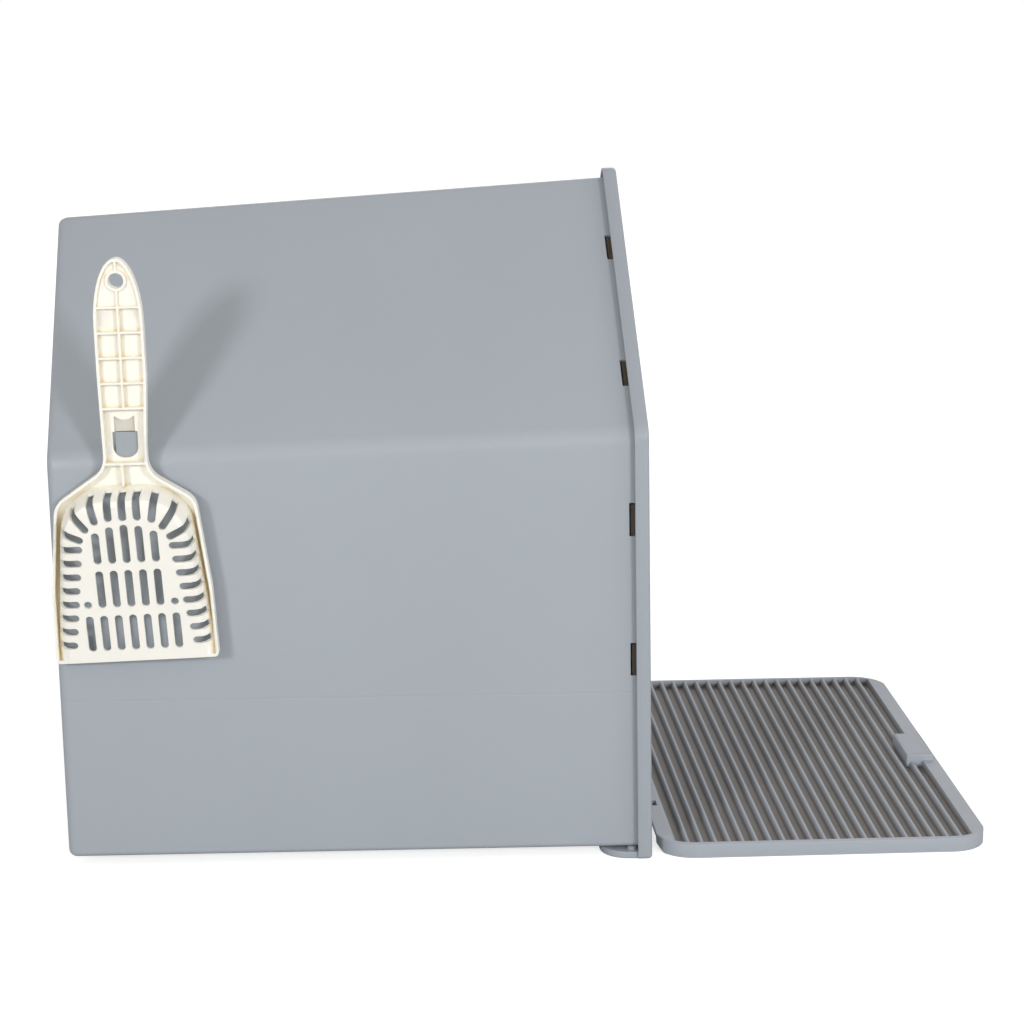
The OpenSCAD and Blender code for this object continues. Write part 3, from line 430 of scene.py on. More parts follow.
def new_piece(name, shapes, body, material, smooth=35.0, replaces=()):
    """A piece from (points, faces) shapes in metres from the panel's foot.

    Doubled points are merged, flat slivers dissolved and normals turned outwards.
    """
    points, faces, start = [], [], 0
    for shape_points, shape_faces in shapes:
        points.append(shape_points + FOOT)
        for group in shape_faces:
            faces += (np.asarray(group) + start).tolist()
        start += len(shape_points)
    mesh = bpy.data.meshes.new(name)
    mesh.from_pydata(np.vstack(points).tolist(), [], faces)
    work = bmesh.new()
    work.from_mesh(mesh)
    bmesh.ops.remove_doubles(work, verts=work.verts, dist=2e-6)
    bmesh.ops.dissolve_degenerate(work, edges=work.edges, dist=1e-7)
    bmesh.ops.recalc_face_normals(work, faces=work.faces)
    work.to_mesh(mesh)
    work.free()
    return settle(name, mesh, smooth, body, material, replaces)


def merged_copy(node, name, body, material, smooth=30.0, edge=0.0, close=3e-6):
    """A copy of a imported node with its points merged, its flat faces joined and its edges rounded."""
    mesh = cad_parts[node].data.copy()
    mesh.name = name
    mesh.materials.clear()
    work = bmesh.new()
    work.from_mesh(mesh)
    bmesh.ops.remove_doubles(work, verts=work.verts, dist=close)
    bmesh.ops.dissolve_limit(
        work, angle_limit=math.radians(0.3), verts=work.verts, edges=work.edges, delimit={"SHARP"}
    )
    work.to_mesh(mesh)
    work.free()
    piece = settle(name, mesh, smooth, body, material, [node])
    if edge:
        bevel = piece.modifiers.new("Rounded edges", "BEVEL")
        bevel.width = edge
        bevel.segments = 2
        bevel.limit_method = "ANGLE"
        bevel.angle_limit = math.radians(smooth)
        bevel.harden_normals = True


def set_second(piece, material, chosen):
    """Gives a second material to the faces whose middles, measured from the foot, chosen picks."""
    mesh = piece.data
    mesh.materials.append(material)
    middles = np.zeros(len(mesh.polygons) * 3, np.float32)
    mesh.polygons.foreach_get("center", middles)
    mesh.polygons.foreach_set("material_index", chosen(middles.reshape(-1, 3) - FOOT).astype(np.int32))
    mesh.update()


# --- Materials ---------------------------------------------------------------------------


def add_node(tree, kind, **values):
    """A shader node to the right of the last one, with its settings and unlinked inputs."""
    node = tree.nodes.new("ShaderNode" + kind)
    node.location.x = 200 * len(tree.nodes)
    for key, value in values.items():
        if key in node.inputs:
            node.inputs[key].default_value = value
        else:
            setattr(node, key, value)
    return node


def wire(tree, *joins):
    """Links shader nodes: each join names a source, its output, a target and its input."""
    for source, output, target, entry in joins:
        tree.links.new(source.outputs[output], target.inputs[entry])


def smooth_range(tree, low, high, kind="SMOOTHSTEP"):
    """A node that turns values from low to high smoothly into 0 to 1."""
    return add_node(tree, "MapRange", interpolation_type=kind, **{"From Min": low, "From Max": high})


def height_in(tree, space):
    """A node whose Z output is the height in a space of coordinates."""
    split = add_node(tree, "SeparateXYZ")
    wire(tree, (add_node(tree, "TexCoord"), space, split, "Vector"))
    return split


def opaque(colour):
    return (*colour[:], 1.0)


def shades(colour, *shares):
    """A colour multiplied by each share, as opaque colours."""
    return [opaque([min(1.0, c * share) for c in colour]) for share in shares]


def moulded(name, colour, roughness=0.42, grain=0.00004, grain_scale=900, drift=0.04):
    """Injection-moulded plastic: slow drifts of colour, cloudy roughness and a fine grain in the surface."""
    material = bpy.data.materials.new(name)
    material.use_nodes = True
    tree = material.node_tree
    shader = tree.nodes["Principled BSDF"]
    shader.inputs["IOR"].default_value = 1.49
    place = add_node(tree, "TexCoord")
    drawn = add_node(tree, "Mapping", Scale=(1, 1, 0.35))
    clouds = add_node(tree, "TexNoise", Scale=5.0, Detail=4.0, Roughness=0.55)
    specks = add_node(tree, "TexNoise", Scale=grain_scale, Detail=3.0, Roughness=0.6)
    smears = add_node(tree, "TexNoise", Scale=28.0, Detail=5.0, Roughness=0.6)
    darker, lighter = shades(colour, 1 - drift, 1 + drift)
    mix = add_node(tree, "Mix", data_type="RGBA", A=darker, B=lighter)
    spread = 0.07
    rough = add_node(tree, "MapRange", **{"To Min": roughness - spread, "To Max": roughness + spread})
    bump = add_node(tree, "Bump", Strength=0.5, Distance=grain)
    wire(
        tree,
        (place, "Object", drawn, "Vector"),
        (drawn, "Vector", clouds, "Vector"),
        (place, "Object", specks, "Vector"),
        (place, "Object", smears, "Vector"),
        (clouds, "Fac", mix, "Factor"),
        (mix, "Result", shader, "Base Color"),
        (smears, "Fac", rough, "Value"),
        (rough, "Result", shader, "Roughness"),
        (specks, "Fac", bump, "Height"),
        (bump, "Normal", shader, "Normal"),
    )
    return material


def mixed_base(material, share, output):
    """Puts a mix before the base colour: the share's output picks between its first colour and the base."""
    tree = material.node_tree
    target = tree.nodes["Principled BSDF"].inputs["Base Color"]
    mix = add_node(tree, "Mix", data_type="RGBA")
    tree.links.new(target.links[0].from_socket, mix.inputs["B"])
    wire(tree, (share, output, mix, "Factor"))
    tree.links.new(mix.outputs["Result"], target)
    return mix


def surface_bump(material):
    """The bump node that ends the material's chain of normals."""
    return material.node_tree.nodes["Principled BSDF"].inputs["Normal"].links[0].from_node


def ridged_plastic(name, colour, groove_shade_colour, low, high):
    """The mat's plastic with painted shade: its grooves are darker and warmer below a height, where shade
    falls in them.
    """
    material = moulded(name, colour, roughness=0.5, drift=0.05)
    tree = material.node_tree
    split = height_in(tree, "Object")
    depth = smooth_range(tree, low, high)
    place = add_node(tree, "TexCoord")
    # A noise that varies the painted groove shade between a darker and a lighter tone.
    shade_noise = add_node(tree, "TexNoise", Scale=140.0, Detail=6.0, Roughness=0.7)
    dull, pale = shades(groove_shade_colour, 0.86, 1.12)
    shaded_groove = add_node(tree, "Mix", data_type="RGBA", A=dull, B=pale)
    wire(
        tree,
        (split, "Z", depth, "Value"),
        (place, "Object", shade_noise, "Vector"),
        (shade_noise, "Fac", shaded_groove, "Factor"),
        (shaded_groove, "Result", mixed_base(material, depth, "Result"), "A"),
    )
    return material


def corner_shaded(material, colour, reach):
    """Paints shade into the material's corners and recesses, where ambient occlusion finds surfaces within a
    reach.
    """
    tree = material.node_tree
    near = add_node(tree, "AmbientOcclusion", samples=8, Distance=reach)
    share = smooth_range(tree, 0.15, 0.85)
    wire(tree, (near, "AO", share, "Value"))
    mixed_base(material, share, "Result").inputs["A"].default_value = opaque(colour)


def softened(material, radius):
    """Rounds the look of the material's edges and inner corners by a radius."""
    tree = material.node_tree
    edge = add_node(tree, "Bevel", samples=6, Radius=radius)
    wire(tree, (edge, "Normal", surface_bump(material), "Normal"))


def sunk_line(material, height):
    """A faint line along the wall where the ledge inside has drawn the plastic in.

    Its depth falls off smoothly from the height given, over a millimetre and a half each way.
    """
    tree = material.node_tree
    split = height_in(tree, "Object")
    above = add_node(tree, "Math", operation="SUBTRACT")
    above.inputs[1].default_value = height
    away = add_node(tree, "Math", operation="ABSOLUTE")
    sunk = smooth_range(tree, 0.0, 0.0015, "SMOOTHERSTEP")
    line = add_node(tree, "Bump", Strength=0.8, Distance=0.00012)
    wire(
        tree,
        (split, "Z", above, 0),
        (above, 0, away, 0),
        (away, 0, sunk, "Value"),
        (sunk, "Result", line, "Height"),
        (line, "Normal", surface_bump(material), "Normal"),
    )


def white_to_camera(tree, lit, white, out):
    """Shows the white shader to the camera and the lit one to everything else."""
    ray = add_node(tree, "LightPath")
    seen = add_node(tree, "MixShader")
    wire(tree, (ray, "Is Camera Ray", seen, 0), (lit, 0, seen, 1), (white, 0, seen, 2), (seen, 0, out, 0))


def settings(context):
    return context.scene.litter_box


# --- Body shell --------------------------------------------------------------------------


def shell_sections(values):
    """Mouth and rear sections of the shell as (half width, base, eave, ridge)."""
    panel, shell = values.panel, values.shell
    inside = inset_house((panel.half, 0.0, panel.eave, panel.ridge), panel.inset)
    mouth = (inside[0], shell.ground, inside[2], inside[3])
    rear = (inside[0] - shell.taper, shell.ground, shell.rear_eave, shell.rear_ridge)
    return mouth, rear


def shell_radii(shell):
    """Radii of the shell's outline at its foot, eaves and ridge."""
    return shell.foot_round, shell.eave_round, shell.ridge_round


def snap_middles(shell):
    """Middles of the snap windows: heights up the wall, and distances up the roof from the sharp eave."""
    walls = np.array([shell.wall_snap_low, shell.wall_snap_high])
    return walls, np.array([shell.roof_snap_low, shell.roof_snap_high])


def shell_stations(shell, section, inset):
    """Outline of the shell, moved inwards, with extra points at the borders of its snap windows."""
    half, _, eave, ridge = section
    slope = math.atan((ridge - eave) / half)
    arcs = house_outline(section, shell_radii(shell), inset, ARC_STEPS).reshape(5, ARC_STEPS + 1, 2)
    reach = np.array([-1, 1]) * shell.window_length / 2
    heights, along = [(middles[:, None] + reach).ravel() for middles in snap_middles(shell)]
    wall = np.stack([np.full(len(heights), half - inset), heights], -1)
    roof_y = half - along * math.cos(slope) - inset * math.sin(slope)
    roof = np.stack([roof_y, eave + along * math.sin(slope) - inset * math.cos(slope)], -1)
    other = np.array([-1.0, 1.0])
    loop = [arcs[0], arcs[1], wall, arcs[2], roof, arcs[3], roof[::-1] * other, arcs[4], wall[::-1] * other]
    return np.vstack(loop)


def window_spans():
    """For each span between two stations, whether it lies in a snap window."""
    arc, windows = [False] * (ARC_STEPS + 1), [True, False, True, False]
    return np.array(arc * 2 + (windows + arc) * 3 + windows)


def shell_grid(values, wall):
    """The shell's surface as rows along its depth, moved inwards by a wall.

    Each row is the mouth's outline and the rear's mixed by the share of the depth. Then comes the
    rounding into the rear wall, by the sine and cosine of a quarter turn, and rows that shrink to the
    rear wall's middle.
    """
    shell, panel = values.shell, values.panel
    mouth, rear = shell_sections(values)
    start = panel.thickness + SEAT
    turn = max(shell.rear_round - wall, 0.001)
    depth = shell.depth - wall
    window = [shell.window_front, shell.window_front + shell.window_width]
    depths = np.array([start, *window, *np.arange(0.05, 0.4, 0.08), shell.depth - shell.rear_round])
    share = ((depths - start) / (shell.depth - start))[:, None, None]
    straight = shell_stations(shell, mouth, wall) * (1 - share) + shell_stations(shell, rear, wall) * share
    angles = np.linspace(0, np.pi / 2, 7)[1:]
    corner = np.stack([shell_stations(shell, rear, wall + turn * (1 - math.cos(a))) for a in angles])
    corner_depth = depth - turn * (1 - np.sin(angles))
    middle = np.array([0.0, (rear[1] + rear[3]) / 2])
    shrink = np.array([0.97, 0.7, 0.35, 0.0])
    cap = middle + (corner[-1] - middle) * shrink[:, None, None]
    outline = np.concatenate([straight, corner, cap])
    places = np.concatenate([depths, corner_depth, np.full(len(shrink), depth)])
    shares = np.clip((places - start) / (shell.depth - start), 0, 1)[:, None]
    y, z = outline[..., 0], outline[..., 1]
    back = z * (np.sin(LEAN) * (1 - shares) + np.sin(REAR_LEAN) * shares)
    rise = z * (np.cos(LEAN) * (1 - shares) + np.cos(REAR_LEAN) * shares)
    return np.stack([-places[:, None] - back, y, rise], -1)


def bar(side, widths, near, far, low, high):
    """A straight bar along the shell, its inner and outer distances mixed from front to rear."""
    corners = []
    for (inner, outer), depth in zip(widths, (near, far)):
        ring = [(inner, low), (outer, low), (outer, high), (inner, high)]
        corners.append([[-depth, side * y, z] for y, z in ring])
    return tube(np.array(corners))


class LITTERBOX_OT_shell(bpy.types.Operator):
    """Body shell with its ledges, runners and snap windows"""

    bl_idname = "litter_box.shell"
    bl_label = "Body shell"

    def execute(self, context):
        values = settings(context)
        shell = values.shell
        outer, inner = [shell_grid(values, wall).transpose(1, 0, 2) for wall in (0.0, shell.wall)]
        keep = np.ones((len(outer), outer.shape[1] - 1), bool)
        keep[window_spans(), WINDOW_ROW] = False
        sheet = walled(outer, inner, keep, wrap=True)
        plastic = moulded("Shell plastic", values.colours.shell, roughness=0.4)
        sunk_line(plastic, shell.ledge_height + shell.ledge_thickness / 2)
        new_piece("shell", [sheet], "body", plastic, replaces=["body_shell"])
        front, rear = shell.bar_front, shell.depth - shell.wall - 0.0002
        wall = shell.mouth_half - shell.wall / 2
        ledge = [(shell.ledge_inner, wall), (shell.ledge_inner, wall - shell.taper)]
        ledge_top = shell.ledge_height + shell.ledge_thickness
        runner = [(shell.runner_inner, shell.runner_outer)] * 2
        runner_top = shell.runner_low + shell.runner_height
        bars = []
        for side in (-1, 1):
            bars.append(bar(side, ledge, front, rear, shell.ledge_height, ledge_top))
            bars.append(bar(side, runner, front, rear, shell.runner_low, runner_top))
        new_piece("shell_ledges", bars, "body", plastic)
        return {"FINISHED"}


# --- Front panel -------------------------------------------------------------------------


def arch_outline(panel):
    """The entry: a half circle on two upright sides, with rounded lower corners, solid on its left."""
    half, spring, sill, corner = panel.entry_half, panel.entry_spring, panel.entry_sill, panel.entry_corner
    angle = np.linspace(0, np.pi, 41)
    arch = np.stack([half * np.cos(angle), spring + half * np.sin(angle)], -1)
    turn = np.linspace(0, np.pi / 2, 10)
    left = np.stack([-half + corner - corner * np.cos(turn), sill + corner - corner * np.sin(turn)], -1)
    right = left[::-1] * np.array([-1.0, 1.0])
    return np.vstack([arch, left, right])[::-1]


def opening_outline(half, low, high, corner):
    """A rounded rectangle in Y and Z with the solid outside it."""
    return rounded_outline([[-half, low], [half, low], [half, high], [-half, high]], [corner] * 4)[::-1]


def eased_edge(radius, steps, ring=0.0008):
    """Insets and depths of a rounded edge, from a ring of points on the flat face."""
    return [(radius + ring, 0.0), *quarter(radius, steps).tolist()]


def wall_end(width, depth, ease, cut=0.0):
    """Insets and depths round the free end of a wall, its corners eased through a point at the cut."""
    near = [(0.0, depth - ease), (cut, depth - cut), (ease, depth)]
    if not cut:
        near = near[::2]
    return near + [(width - inset, at) for inset, at in near[::-1]]


def snap_places(values):
    """Middles and outward directions, in Y and Z, of the eight snaps on the shell's mouth."""
    half, _, eave, ridge = shell_sections(values)[0]
    slope = math.atan((ridge - eave) / half)
    walls, roofs = snap_middles(values.shell)
    snaps = [((half, z), (1.0, 0.0)) for z in walls]
    for s in roofs:
        middle = (half - s * math.cos(slope), eave + s * math.sin(slope))
        snaps.append((middle, (math.sin(slope), math.cos(slope))))
    sides = (np.array([-1, 1]), np.array([1, 1]))
    return [(np.array(at) * side, np.array(out) * side) for side in sides for at, out in snaps]


def above_floor(outline, depth):
    """Places the panel's outline, cut off at the floor."""
    placed = upright(outline, depth)
    placed[:, 2] = np.maximum(placed[:, 2], 0.0)
    return placed


class LITTERBOX_OT_panel(bpy.types.Operator):
    """Front panel with its rim, entry, drawer opening, spigot, catches and foot plate"""

    bl_idname = "litter_box.panel"
    bl_label = "Front panel"

    def execute(self, context):
        values = settings(context)
        panel = values.panel
        plastic = moulded("Panel plastic", values.colours.panel, roughness=0.4)
        new_piece("panel", [self.face(panel)], "body", plastic, replaces=["front_panel"])
        new_piece("spigot", [self.spigot(values)], "body", plastic)
        # Painted shade: the catches get a dark brown for the shade that fills the shell's windows.
        catch_shade_material = moulded("Catch painted shade", values.colours.catch_shade, roughness=0.55, drift=0.1)
        new_piece("catches", self.catches(values), "body", catch_shade_material, smooth=20)
        new_piece("foot_plate", self.feet(values), "body", plastic)
        return {"FINISHED"}

    @staticmethod
    def face(panel):
        """The sheet with its rim, and the edges of its two openings."""
        section = (panel.half, 0.0, panel.eave, panel.ridge)
        radii = (panel.foot_round, panel.eave_round, panel.ridge_round)
        sheet = panel.thickness
        rim = [*wall_end(panel.rim_wall, panel.rim_depth, 0.0007, 0.0002), (panel.rim_wall, sheet)]
        lip = [*wall_end(panel.lip_wall, sheet + panel.lip_depth, 0.0006), (panel.lip_wall, sheet)]
        slot = [(0.0, sheet - 0.0004), (0.0004, sheet)]
        outlines = [
            house_outline(section, radii, 0.0, 12),
            arch_outline(panel),
            opening_outline(panel.opening_half, panel.opening_low, panel.opening_top, 0.005),
        ]
        edges = [eased_edge(panel.rim_round, 6), eased_edge(0.0014, 5), eased_edge(0.0007, 3, 0.0005)]
        return plate(outlines, [edge + rest for edge, rest in zip(edges, (rim, lip, slot))], above_floor)

    @staticmethod
    def spigot(values):
        """The ring that plugs into the shell, open at the drawer."""
        panel, shell = values.panel, values.shell
        mouth, _ = shell_sections(values)
        foot = panel.opening_top + 0.002
        grids = []
        for inset in (shell.wall + SPIGOT_GAP, shell.wall + SPIGOT_GAP + panel.spigot_wall):
            arcs = house_outline(mouth, shell_radii(shell), inset, ARC_STEPS)[2 * (ARC_STEPS + 1) :]
            side = arcs[-1][0]
            ring = np.vstack([[-side, foot], arcs, [side, foot]])
            ends = [upright(ring, depth) for depth in (panel.thickness - 0.0005, panel.spigot_depth)]
            grids.append(np.stack(ends, 1))
        return walled(*grids)

    @staticmethod
    def catches(values):
        """The catches that stand in the shell's windows, seen between the rim and the windows' rear edges."""
        panel, shell = values.panel, values.shell
        near = shell.window_front + SEAT
        far = shell.window_front + shell.window_width - 0.0012
        root, tip = -shell.wall - SPIGOT_GAP - panel.spigot_wall, -shell.wall / 3
        ease = 0.0006
        shape = [(near, root), (near, tip), (far - ease, tip), (far, tip - ease), (far, root)]
        catches = []
        for middle, outward in snap_places(values):
            along = np.array([-outward[1], outward[0]]) * (shell.window_length / 2 - 0.001)
            ends = [
                [upright((middle + outward * out + along * end)[None], deep)[0] for deep, out in shape]
                for end in (-1, 1)
            ]
            catches.append(tube(np.array(ends)))
        return catches

    @staticmethod
    def feet(values):
        """The foot plate under the shell's front and the two lugs beside it."""
        panel, shell = values.panel, values.shell
        rear, front, half = panel.foot_plate, panel.thickness, panel.half - panel.rim_wall
        corner, sharp = panel.foot_plate_round, 0.0001
        outline = rounded_outline(
            [[-rear, -half], [-front, -half], [-front, half], [-rear, half]], [corner, sharp, sharp, corner]
        )
        top = panel.foot_plate_height
        profile = [(0.0006, 0.0), (0.0, 0.0006), (0.0, top - 0.0008), (0.0003, top - 0.0002), (0.0009, top)]
        shapes = [plate([outline], [profile], level)]
        lug, lug_top = 0.0035, shell.ground - 0.00015
        turned = [(lug - 0.0005, 0), (lug, 0.0004), (lug, lug_top - 0.00025), (lug - 0.0005, lug_top)]
        for side in (-1, 1):
            middle = (-panel.rim_depth - lug, side * (panel.half - panel.inset - lug), 0.0)
            shapes.append(lathe(turned, middle, 2, 32))
        return shapes


# --- Feet and hanger ---------------------------------------------------------------------


class LITTERBOX_OT_feet(bpy.types.Operator):
    """Two rubber feet under the rear"""

    bl_idname = "litter_box.feet"
    bl_label = "Rear feet"

    def execute(self, context):
        values = settings(context)
        shell = values.shell
        sole = [(0.0, 0.0), (0.0104, 0.0), (0.0113, 0.0003), (0.012, 0.0011)]
        shoulder = [(0.012, 0.0064), (0.0114, 0.0072), (0.0106, 0.0074)]
        stem = [(0.003, 0.0074), (0.003, 0.0098), (0.0025, 0.01), (0.0, 0.01)]
        place = shell.foot_inset - shell.depth
        shapes = [lathe(sole + shoulder + stem, (place, side * shell.foot_side, 0.0), 2) for side in (-1, 1)]
        rubber = moulded("Foot rubber", values.colours.rubber, roughness=0.75, grain=0.0001, grain_scale=1600)
        new_piece("feet", shapes, "body", rubber, replaces=["rear_feet"])
        return {"FINISHED"}


class LITTERBOX_OT_hanger(bpy.types.Operator):
    """Hanger for the scoop on the side wall"""

    bl_idname = "litter_box.hanger"
    bl_label = "Scoop hanger"

    def execute(self, context):
        plastic = moulded("Hanger plastic", settings(context).colours.panel)
        merged_copy("scoop_hanger", "hanger", "body", plastic, edge=0.0004)
        return {"FINISHED"}


# --- Drawer ------------------------------------------------------------------------------


def plan_outline(rear, front, half, radius):
    """Rounded rectangle in plan: rear and front distances behind the panel's front, and half width."""
    return rounded_outline([[-rear, -half], [-front, -half], [-front, half], [-rear, half]], [radius] * 4, 12)


class LITTERBOX_OT_tray(bpy.types.Operator):
    """Litter tray, a tub with drafted walls, rounded floor and rim"""

    bl_idname = "litter_box.tray"
    bl_label = "Litter tray"

    def execute(self, context):
        values = settings(context)
        tray = values.drawer
        low, high, wall = tray.tray_floor, tray.tray_top, tray.tray_wall
        over = tray.rim_half - tray.tray_half_high
        draft = tray.tray_half_high - tray.tray_half_low

        def ring(inset, height):
            """The tub's outline at a height: its four sides mixed between floor and rim, moved inwards."""
            share = min(max((height - low) / (high - low), 0.0), 1.0)
            rear = tray.rim_rear - over - draft * (1 - share) - inset
            front = tray.tray_front + tray.front_draft * (1 - share) + inset
            half = tray.tray_half_low + draft * share - inset
            return level(plan_outline(rear, front, half, max(tray.tray_round - inset, 0.006)), height)

        def bend(inset, floor, radius, turns):
            """Outlines round the bend between a wall and a floor."""
            ways = zip(1 - np.sin(turns), 1 - np.cos(turns))
            return [ring(inset + radius * across, floor + radius * rise) for across, rise in ways]

        top, edge, cut = high - tray.rim_height, 0.0008, 0.0002
        turns = np.linspace(0, np.pi / 2, 6)
        outside = bend(0.0, low, tray.floor_round, turns)
        rim = [(0.0, top), (EASE - over, top), (-over, top + EASE), (-over, high - edge)]
        rim += [(cut - over, high - cut), (edge - over, high), (wall - edge, high), (wall, high - edge)]
        inside = bend(wall, low + wall, tray.floor_round + 0.002, turns[::-1])
        tub = tube(np.array([*outside, *[ring(*point) for point in rim], *inside]))
        tongue = plan_outline(tray.tray_front + wall, tray.tongue_front, tray.tongue_half, 0.005)
        profile = [(EASE, high), (0.0, high - EASE), (0.0, top + EASE), (EASE, top)]
        shapes = [tub, plate([tongue], [profile], level)]
        plastic = moulded("Tray plastic", values.colours.tray, roughness=0.38)
        new_piece("tray", shapes, "drawer", plastic, replaces=["litter_tray"])
        return {"FINISHED"}


class LITTERBOX_OT_drawer_front(bpy.types.Operator):
    """Drawer front with its finger slot, hooks, posts and hinge ears"""

    bl_idname = "litter_box.drawer_front"
    bl_label = "Drawer front"

    def execute(self, context):
        plastic = moulded("Drawer plastic", settings(context).colours.panel)
        merged_copy("drawer_front", "drawer_front_plate", "drawer", plastic, edge=0.0005)
        return {"FINISHED"}


# --- Step mat ----------------------------------------------------------------------------


def mat_half(mat, x):
    """Half of the mat's width at x: less by a circle's arc near both ends."""
    from_end = np.minimum(np.minimum(x - mat.near, mat.far - x), mat.corner)
    return mat.half - mat.corner + np.sqrt(np.maximum(mat.corner**2 - (mat.corner - from_end) ** 2, 0))


def mat_hollows(mat):
    """Starts and ends of the hollows under the mat: two along X, and two to each side of the middle."""
    along = (mat.notch + mat.border, mat.far - mat.border)
    across = (mat.rib / 2, mat.half - mat.border + mat.rib / 2)
    spans = []
    for low, high in (along, across):
        step = (high - low) / 2
        spans.append([(low + i * step, low + (i + 1) * step - mat.rib) for i in range(2)])
    return spans


def mat_rows(mat, hollows):
    """Places of the grid's rows: at the corners' arcs, ridges, notch, hinge's bevel and hollows."""
    count = int((mat.far - mat.border / 2 - mat.first_ridge) / mat.ridge_pitch) + 1
    ridges = mat.first_ridge + np.arange(count) * mat.ridge_pitch
    foot, crest = mat.ridge_foot / 2, mat.ridge_crest / 2
    marks = np.array([-foot, -foot + RIDGE_EASE, -crest - RIDGE_EASE, -crest, -crest / 2, 0.0])
    marks = np.concatenate([marks, -marks[:-1]])
    ends = np.concatenate([mat.corner * (1 - np.cos(np.linspace(0, np.pi / 2, 12))), MAT_EDGE[1:]])
    walls = np.ravel([(low, low + STEEP, high - STEEP, high) for low, high in hollows])
    own = [mat.notch, mat.near + mat.heel, mat.near + mat.lip_reach, mat.first_ridge, mat.far - mat.border]
    lines = np.concatenate([mat.near + ends, mat.far - ends, (ridges[:, None] + marks).ravel(), walls, own])
    x = np.unique(np.round(lines[(lines >= mat.near) & (lines <= mat.far)], 6))
    return x[np.concatenate([[True], np.diff(x) > 0.00008])]


def mat_columns(mat, half, hollows):
    """Distances of the grid's columns from the middle, for rows that end at the half widths given.

    The outer columns keep their distance from the row's end. The inner ones keep their place, or stand
    close together where the row is too short for it.
    """
    side, last = mat.side_border, mat.half - hollows[1][1]
    border = [side - FIELD_EDGE, side, side + STEEP]
    insets = np.array([*MAT_EDGE, *border, last, last + STEEP, mat.half - mat.lip_outer])
    (low, high), (after, _) = hollows
    inner = [0.0, low, low + STEEP, high - STEEP, high, after, after + STEEP, mat.lip_inner, mat.lip_outer]
    inner += [mat.ear_place - mat.ear_half, mat.ear_place + mat.ear_half]
    inner = np.sort([*inner, 0.03, 0.06, 0.14, 0.16])[::-1]
    limit = (half - insets[-1] - 0.0005)[:, None]
    packed = np.minimum(inner, limit - np.arange(len(inner)) * HAIR)
    return np.concatenate([half[:, None] - insets, packed], 1)


def mat_grids(mat):
    """Top and underside of the mat as heights on one grid, and the faces that both keep.

    Rows run along X and follow the ridges' feet and crests. Each row spans the plan's half width,
    which falls by a circle's arc near both ends. The top is the border's height, or inside the
    border the groove's height with each ridge as a slope up to its rounded crest. The underside
    is the floor, raised under the lip, at the hinge's bevel and in the hollows.
    """
    hollows_x, hollows_y = mat_hollows(mat)
    x = mat_rows(mat, hollows_x)
    half = mat_half(mat, x)
    columns = mat_columns(mat, half, hollows_y)
    y = np.concatenate([-columns, columns[:, ::-1][:, 1:]], 1)
    grid_x = np.broadcast_to(x[:, None], y.shape)
    from_middle = np.abs(y)
    inside_y = half[:, None] - from_middle
    from_rim = np.minimum(inside_y, np.minimum(grid_x - mat.near, mat.far - grid_x))
    edge_drop = np.interp(from_rim, MAT_EDGE, [0.0008, 0.0005, 0.0002, 0.0])
    foot, crest, pitch = mat.ridge_foot / 2, mat.ridge_crest / 2, mat.ridge_pitch
    from_ridge = np.abs((grid_x - mat.first_ridge + pitch / 2) % pitch - pitch / 2)
    ways = [0.0, crest / 2, crest, crest + RIDGE_EASE, foot - RIDGE_EASE, foot]
    heights = [*(mat.crest - np.array([0.0, 0.0001, 0.0004, 0.0012])), mat.groove + 0.0003, mat.groove]
    relief = np.interp(from_ridge, ways, heights)
    field = np.clip((inside_y - (mat.side_border - FIELD_EDGE)) / FIELD_EDGE, 0, 1)
    field = field * (grid_x > mat.first_ridge - 1e-6) * (grid_x < mat.far - mat.border + 1e-6)
    top = (mat.height - edge_drop) * (1 - field) + relief * field
    under = np.maximum(0.0, mat.heel - (grid_x - mat.near))
    lip = (grid_x <= mat.near + mat.lip_reach + 1e-6) & (from_middle > mat.lip_inner - 0.0001)
    lip &= from_middle < mat.lip_outer + 0.0001
    under = np.where(lip, np.maximum(under, mat.height - mat.lip_wall), under)
    for low, high in hollows_x:
        for left, right in hollows_y:
            box = (grid_x > low + HAIR) & (grid_x < high - HAIR)
            box &= (from_middle > left + HAIR) & (from_middle < right - HAIR)
            under = np.where(box, mat.hollow, under)
    keep = np.ones((len(x) - 1, y.shape[1] - 1), bool)
    middle_y = np.abs(y[:-1, :-1] + y[:-1, 1:]) / 2
    middle_x = (grid_x[:-1, :-1] + grid_x[1:, :-1]) / 2
    keep[(middle_x < mat.notch) & (np.abs(middle_y - mat.ear_place) < mat.ear_half)] = False
    return np.stack([grid_x, y, top], -1), np.stack([grid_x, y, under], -1), keep


